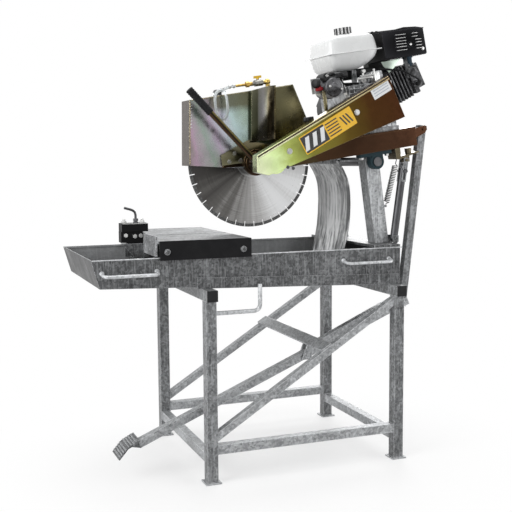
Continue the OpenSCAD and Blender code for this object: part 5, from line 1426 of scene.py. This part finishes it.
class SAW_OT_engine(bpy.types.Operator):
    """Dress the engine: carburettor, controls, leads, bolts and the starter motor"""

    bl_idname = "saw.engine"
    bl_label = "Engine dressing"

    def execute(self, context):
        self.carburettor()
        self.controls()
        self.leads()
        self.bolts()
        self.starter()
        self.silencer()
        self.cylinder()
        self.case_ribs()
        return {"FINISHED"}

    def carburettor(self):
        body = slab(mm(58, -178, 306), mm(104, -120, 344), 0.005, 3)
        throat = turned(mm(81, -190, 326), [(0, 15), (3, 18), (12, 18), (13, 14), (90, 14)], 28, BACK)
        profile = [(0, 20), (6, 21), (8, 19), (22, 18), (26, 12), (30, 6)]
        bowl = turned(mm(81, -150, 312), profile, 28, (0, 0, -1))
        fit("carburettor", [body, throat, bowl], "alloy")

    def controls(self):
        panel = slab(mm(34, -214, 302), mm(70, -211, 340), 0.001)
        arm = slab(mm(-30, -219, 318), mm(64, -216, 326), 0.001)
        upright = slab(mm(40, -222, 300), mm(48, -219, 352), 0.001)
        fit("control_plate", [panel, arm, upright], "bright")
        spring = tube(coil(mm(-20, -222, 329), mm(44, -222, 331), 0.0040, 13, 10), 0.0008, 2)
        rod = tube([mm(44, -221, 306), mm(58, -216, 304), mm(72, -190, 306), mm(81, -180, 312)], 0.0014, 3)
        fit("governor_spring", [spring, rod], "bright")
        box = slab(mm(-104, -214, 336), mm(-64, -176, 356), 0.004, 3)
        lever = slab(mm(-92, -226, 340), mm(-84, -212, 350), 0.002)
        fit("fuel_tap", [box, lever], "plastic")

    def leads(self):
        plug = lead([(272, -150, 272), (272, -176, 284), (200, -176, 330), (120, -140, 350), (90, -60, 346)],
                    0.020, 0.0038)
        wires = lead([(-160, -168, 334), (-150, -176, 352), (-96, -176, 352), (-60, -150, 340),
                      (-40, -120, 330)], 0.010, 0.0045)
        hose = lead([(-84, -190, 336), (-84, -192, 312), (-20, -196, 306), (50, -160, 300), (70, -150, 306)],
                    0.012, 0.0042)
        fit("leads", [plug, wires, hose], "rubber")
        boot = turned(mm(270, -150, 270), [(0, 9), (4, 11), (12, 10), (24, 6)], 20, (4, -20, 12))
        fit("plug_boot", [boot], "plastic")

    def bolts(self):
        heads = []
        for i in range(9):
            angle = math.radians(20 + 40 * i)
            at = mm(36 + 76 * math.cos(angle), -220, 216 - 76 * math.sin(angle))
            heads.append(turned(at, bolt(7.5, 5.5, 6, (7, 5))))
        for u in (-66, 112):
            for y in (-170, 30):
                profile = [(0, 11), (2, 11), (2.2, 8.5), (9, 8.5), (10, 8)]
                heads.append(turned(mm(u, y, 124), profile, 6, UP))
        fit("case_bolts", heads, "bright")

    def starter(self):
        cap = turned(mm(-128, -206, 304), [(0, 36), (3, 36.2), (8, 33), (10, 18), (14, 16), (16, 10)], 40)
        band = turned(mm(-124, -150, 301), [(0, 37), (1, 38.5), (12, 38.5), (13, 37)], 40)
        fit("starter_cap", [cap, band], "dark_alloy")
        fit("starter_strap", [strap([(-97, 356), (-80, 328), (-67, 269)], -192, -168)], "bright")
        fit("tank_mount", [slab(mm(-60, -110, 326), mm(112, -24, 364), 0.006, 3)], "black")
        relay = turned(mm(-150, -204, 344), [(0, 13), (2, 15.5), (60, 15.5), (62, 12), (70, 12)], 28, BACK)
        profile = [(0, 12), (3, 17), (16, 18), (22, 14), (24, 8)]
        knob = turned(mm(-186, -192, 326), profile, 28, (-20, -12, 2))
        fit("starter_relay", [relay, knob], "plastic")
        profile = [(0, 5.5), (7, 5.5), (8, 4.5)]
        ties = [turned(mm(u, -214, w), profile) for u, w in ((-148, 309), (-100, 293))]
        post = turned(mm(-150, -204, 350), [(0, 5), (4, 5), (4.5, 3), (12, 3)], 12)
        fit("starter_screws", ties + [post], "bright")
        fit("red_boot", [slab(mm(-190, -196, 298), mm(-166, -176, 312), 0.003, 3)], "red")
        strip = slab(mm(-176, -204, 104), mm(-162, -200, 296), 0.001)
        foot = slab(mm(-176, -204, 104), mm(-150, -176, 107), 0.001)
        tab = slab(mm(-176, -204, 290), mm(-162, -174, 294), 0.001)
        fit("switch_bracket", [strip, foot, tab], "gold")

    def silencer(self):
        """The perforated shield: an arched plate with rows of pressed louvres, and bright strips over them
        as the louvres' painted highlights.
        """
        corners = [(136, 486), (235, 499), (290, 496), (323, 489), (329, 388), (261, 383), (233, 383),
                   (140, 388)]
        shield = [plate(corners, -153.5, -150.5, 0.0012)]
        edges = []
        rows = [(190, 240, (470, 457, 445, 434, 423, 410)), (265, 294, (470, 457.5)),
                (279, 309, (445, 434, 422, 410))]
        for left, right, heights in rows:
            for w in heights:
                shield.append(slab(mm(left, -158, w - 2.6), mm(right, -153, w + 2.6), 0.0018))
                # Painted highlight: a thin bright strip along each louvre's top edge.
                edges.append(slab(mm(left + 2, -158.5, w + 0.6), mm(right - 2, -157.5, w + 2.0)))
        shield.append(turned(mm(256, -153, 429), [(0, 11), (3, 10), (4, 7), (4.5, 3)], 24))
        shield.append(slab(mm(136, -154, 486), mm(326, 0, 490), 0.0015))
        fit("silencer_shield", shield, "shield")
        fit("louvre_highlight_strips", edges, "bright")
        small = turned(mm(256, -157, 429), bolt(5.2, 4, 4.5))
        large = turned(mm(312, -153, 408), bolt(7.15, 5.5, 4.5))
        fit("silencer_screws", [small, large], "bright")
        wings = [turned(mm(233, 80, 505), [(0, 8), (4, 7), (6, 5)], 16, UP)]
        for u in (223, 243):
            wings.append(slab(mm(u - 6, 78, 506), mm(u + 6, 82, 514), 0.0018, 3))
        fit("wing_nut", wings, "plastic")
        corners = [(130, 377), (217, 381), (185, 347), (160, 330), (137, 360)]
        fit("cooling_duct", [plate(corners, -131, -128, 0.001)], "duct")
        profile = [(0, 21.5), (5, 21.5), (6, 17.5), (30, 17.2), (31, 19.5), (36, 19.5), (37, 17.5),
                   (56, 17.5), (57, 21), (62, 21)]
        fit("exhaust_elbow", [turned(mm(262, -110, 322), profile, 32, UP)], "elbow")

    def cylinder(self):
        tilt = Matrix.Translation(mm(36, 0, 216)) @ Matrix.Rotation(-math.radians(19), 4, "Y")
        studs = []
        for y in (-108, -12):
            for z in (-38, 40):
                studs.append(settle(turned(mm(289.5, y, z), bolt(9, 6.5, 4.5), 6, (1, 0, 0)), tilt))
        fit("cover_screws", studs, "bright")
        ribs = []
        for y in (-96, -78, -60, -42, -24):
            ribs.append(settle(slab(mm(254, y - 1.5, -50), mm(290, y + 1.5, 52.5), 0.001), tilt))
        fit("cover_ribs", ribs, "alloy")
        brace = slab(mm(232, -136, 300), mm(246, -132, 384), 0.001)
        flange = slab(mm(240, -134, 340), mm(286, -90, 346), 0.002)
        fit("pipe_flange", [brace, flange], "iron")

    def case_ribs(self):
        ribs = [slab(mm(u - 2, -203, 126), mm(u + 2, -198, 296), 0.001) for u in (-40, -12, 84, 106)]
        ribs += [slab(mm(-60, -204, w - 2), mm(124, -198, w + 2), 0.001) for w in (270, 286)]
        fit("case_ribs", ribs, "alloy")
        cap = turned(mm(-67, -187, 244), [(0, 10), (2, 12), (10, 12), (12, 8)], 12, UP)
        fit("filler_cap", [cap], "plastic")


class SAW_OT_fan_cover(bpy.types.Operator):
    """Slot the fan cover and fit the pull grip"""

    bl_idname = "saw.fan_cover"
    bl_label = "Fan cover"

    def execute(self, context):
        cover = []
        for i in range(24):
            slot = slab(mm(36, -1.2, -2.2), mm(66, 1.2, 2.2), 0.0006, 1)
            spin = Matrix.Translation(mm(36, 148.4, 216)) @ Matrix.Rotation(math.tau * i / 24, 4, "Y")
            cover.append(settle(slot, spin))
        cover.append(turned(mm(36, 146, 216), [(0, 30), (2, 30), (5, 26), (6, 12)], 40, BACK))
        fit("fan_slots", cover, "black", slot="black_plastic")
        grip = slab(mm(-9, 124.5, -22), mm(9, 145.5, 22), 0.006, 4)
        settle(grip, Matrix.Translation(mm(-31, 0, 254)) @ Matrix.Rotation(math.radians(30), 4, "Y"))
        fit("grip", [grip], "plastic")
        screws = []
        for i in range(6):
            angle = math.tau * (i + 0.5) / 6
            at = mm(36 + 83 * math.cos(angle), 128, 216 + 83 * math.sin(angle))
            screws.append(turned(at, bolt(6, 4.5, 5), 6, BACK))
        fit("fan_screws", screws, "bright")
        return {"FINISHED"}


STEPS = (
    SAW_OT_stage,
    SAW_OT_finishes,
    SAW_OT_labels,
    SAW_OT_welds,
    SAW_OT_handles,
    SAW_OT_curtain,
    SAW_OT_stop,
    SAW_OT_tread,
    SAW_OT_grip,
    SAW_OT_hoses,
    SAW_OT_guard_trim,
    SAW_OT_tank,
    SAW_OT_engine,
    SAW_OT_fan_cover,
)


class SAW_PT_panel(bpy.types.Panel):
    bl_idname = "SAW_PT_panel"
    bl_label = "Block Saw"
    bl_space_type = "VIEW_3D"
    bl_region_type = "UI"
    bl_category = "Block Saw"

    def draw(self, context):
        for step in STEPS:
            self.layout.operator(step.bl_idname)
        for group in (context.scene.saw_sizes, context.scene.saw_colours):
            for name in group.__annotations__:
                self.layout.prop(group, name)


CLASSES = (SawSizes, SawColours) + STEPS + (SAW_PT_panel,)


def register():
    for part in CLASSES:
        bpy.utils.register_class(part)
    bpy.types.Scene.saw_sizes = bpy.props.PointerProperty(type=SawSizes)
    bpy.types.Scene.saw_colours = bpy.props.PointerProperty(type=SawColours)


def unregister():
    del bpy.types.Scene.saw_colours
    del bpy.types.Scene.saw_sizes
    for part in reversed(CLASSES):
        bpy.utils.unregister_class(part)


def main():
    register()
    for step in STEPS:
        group, action = step.bl_idname.split(".")
        getattr(getattr(bpy.ops, group), action)()


if __name__ == "__main__":
    main()
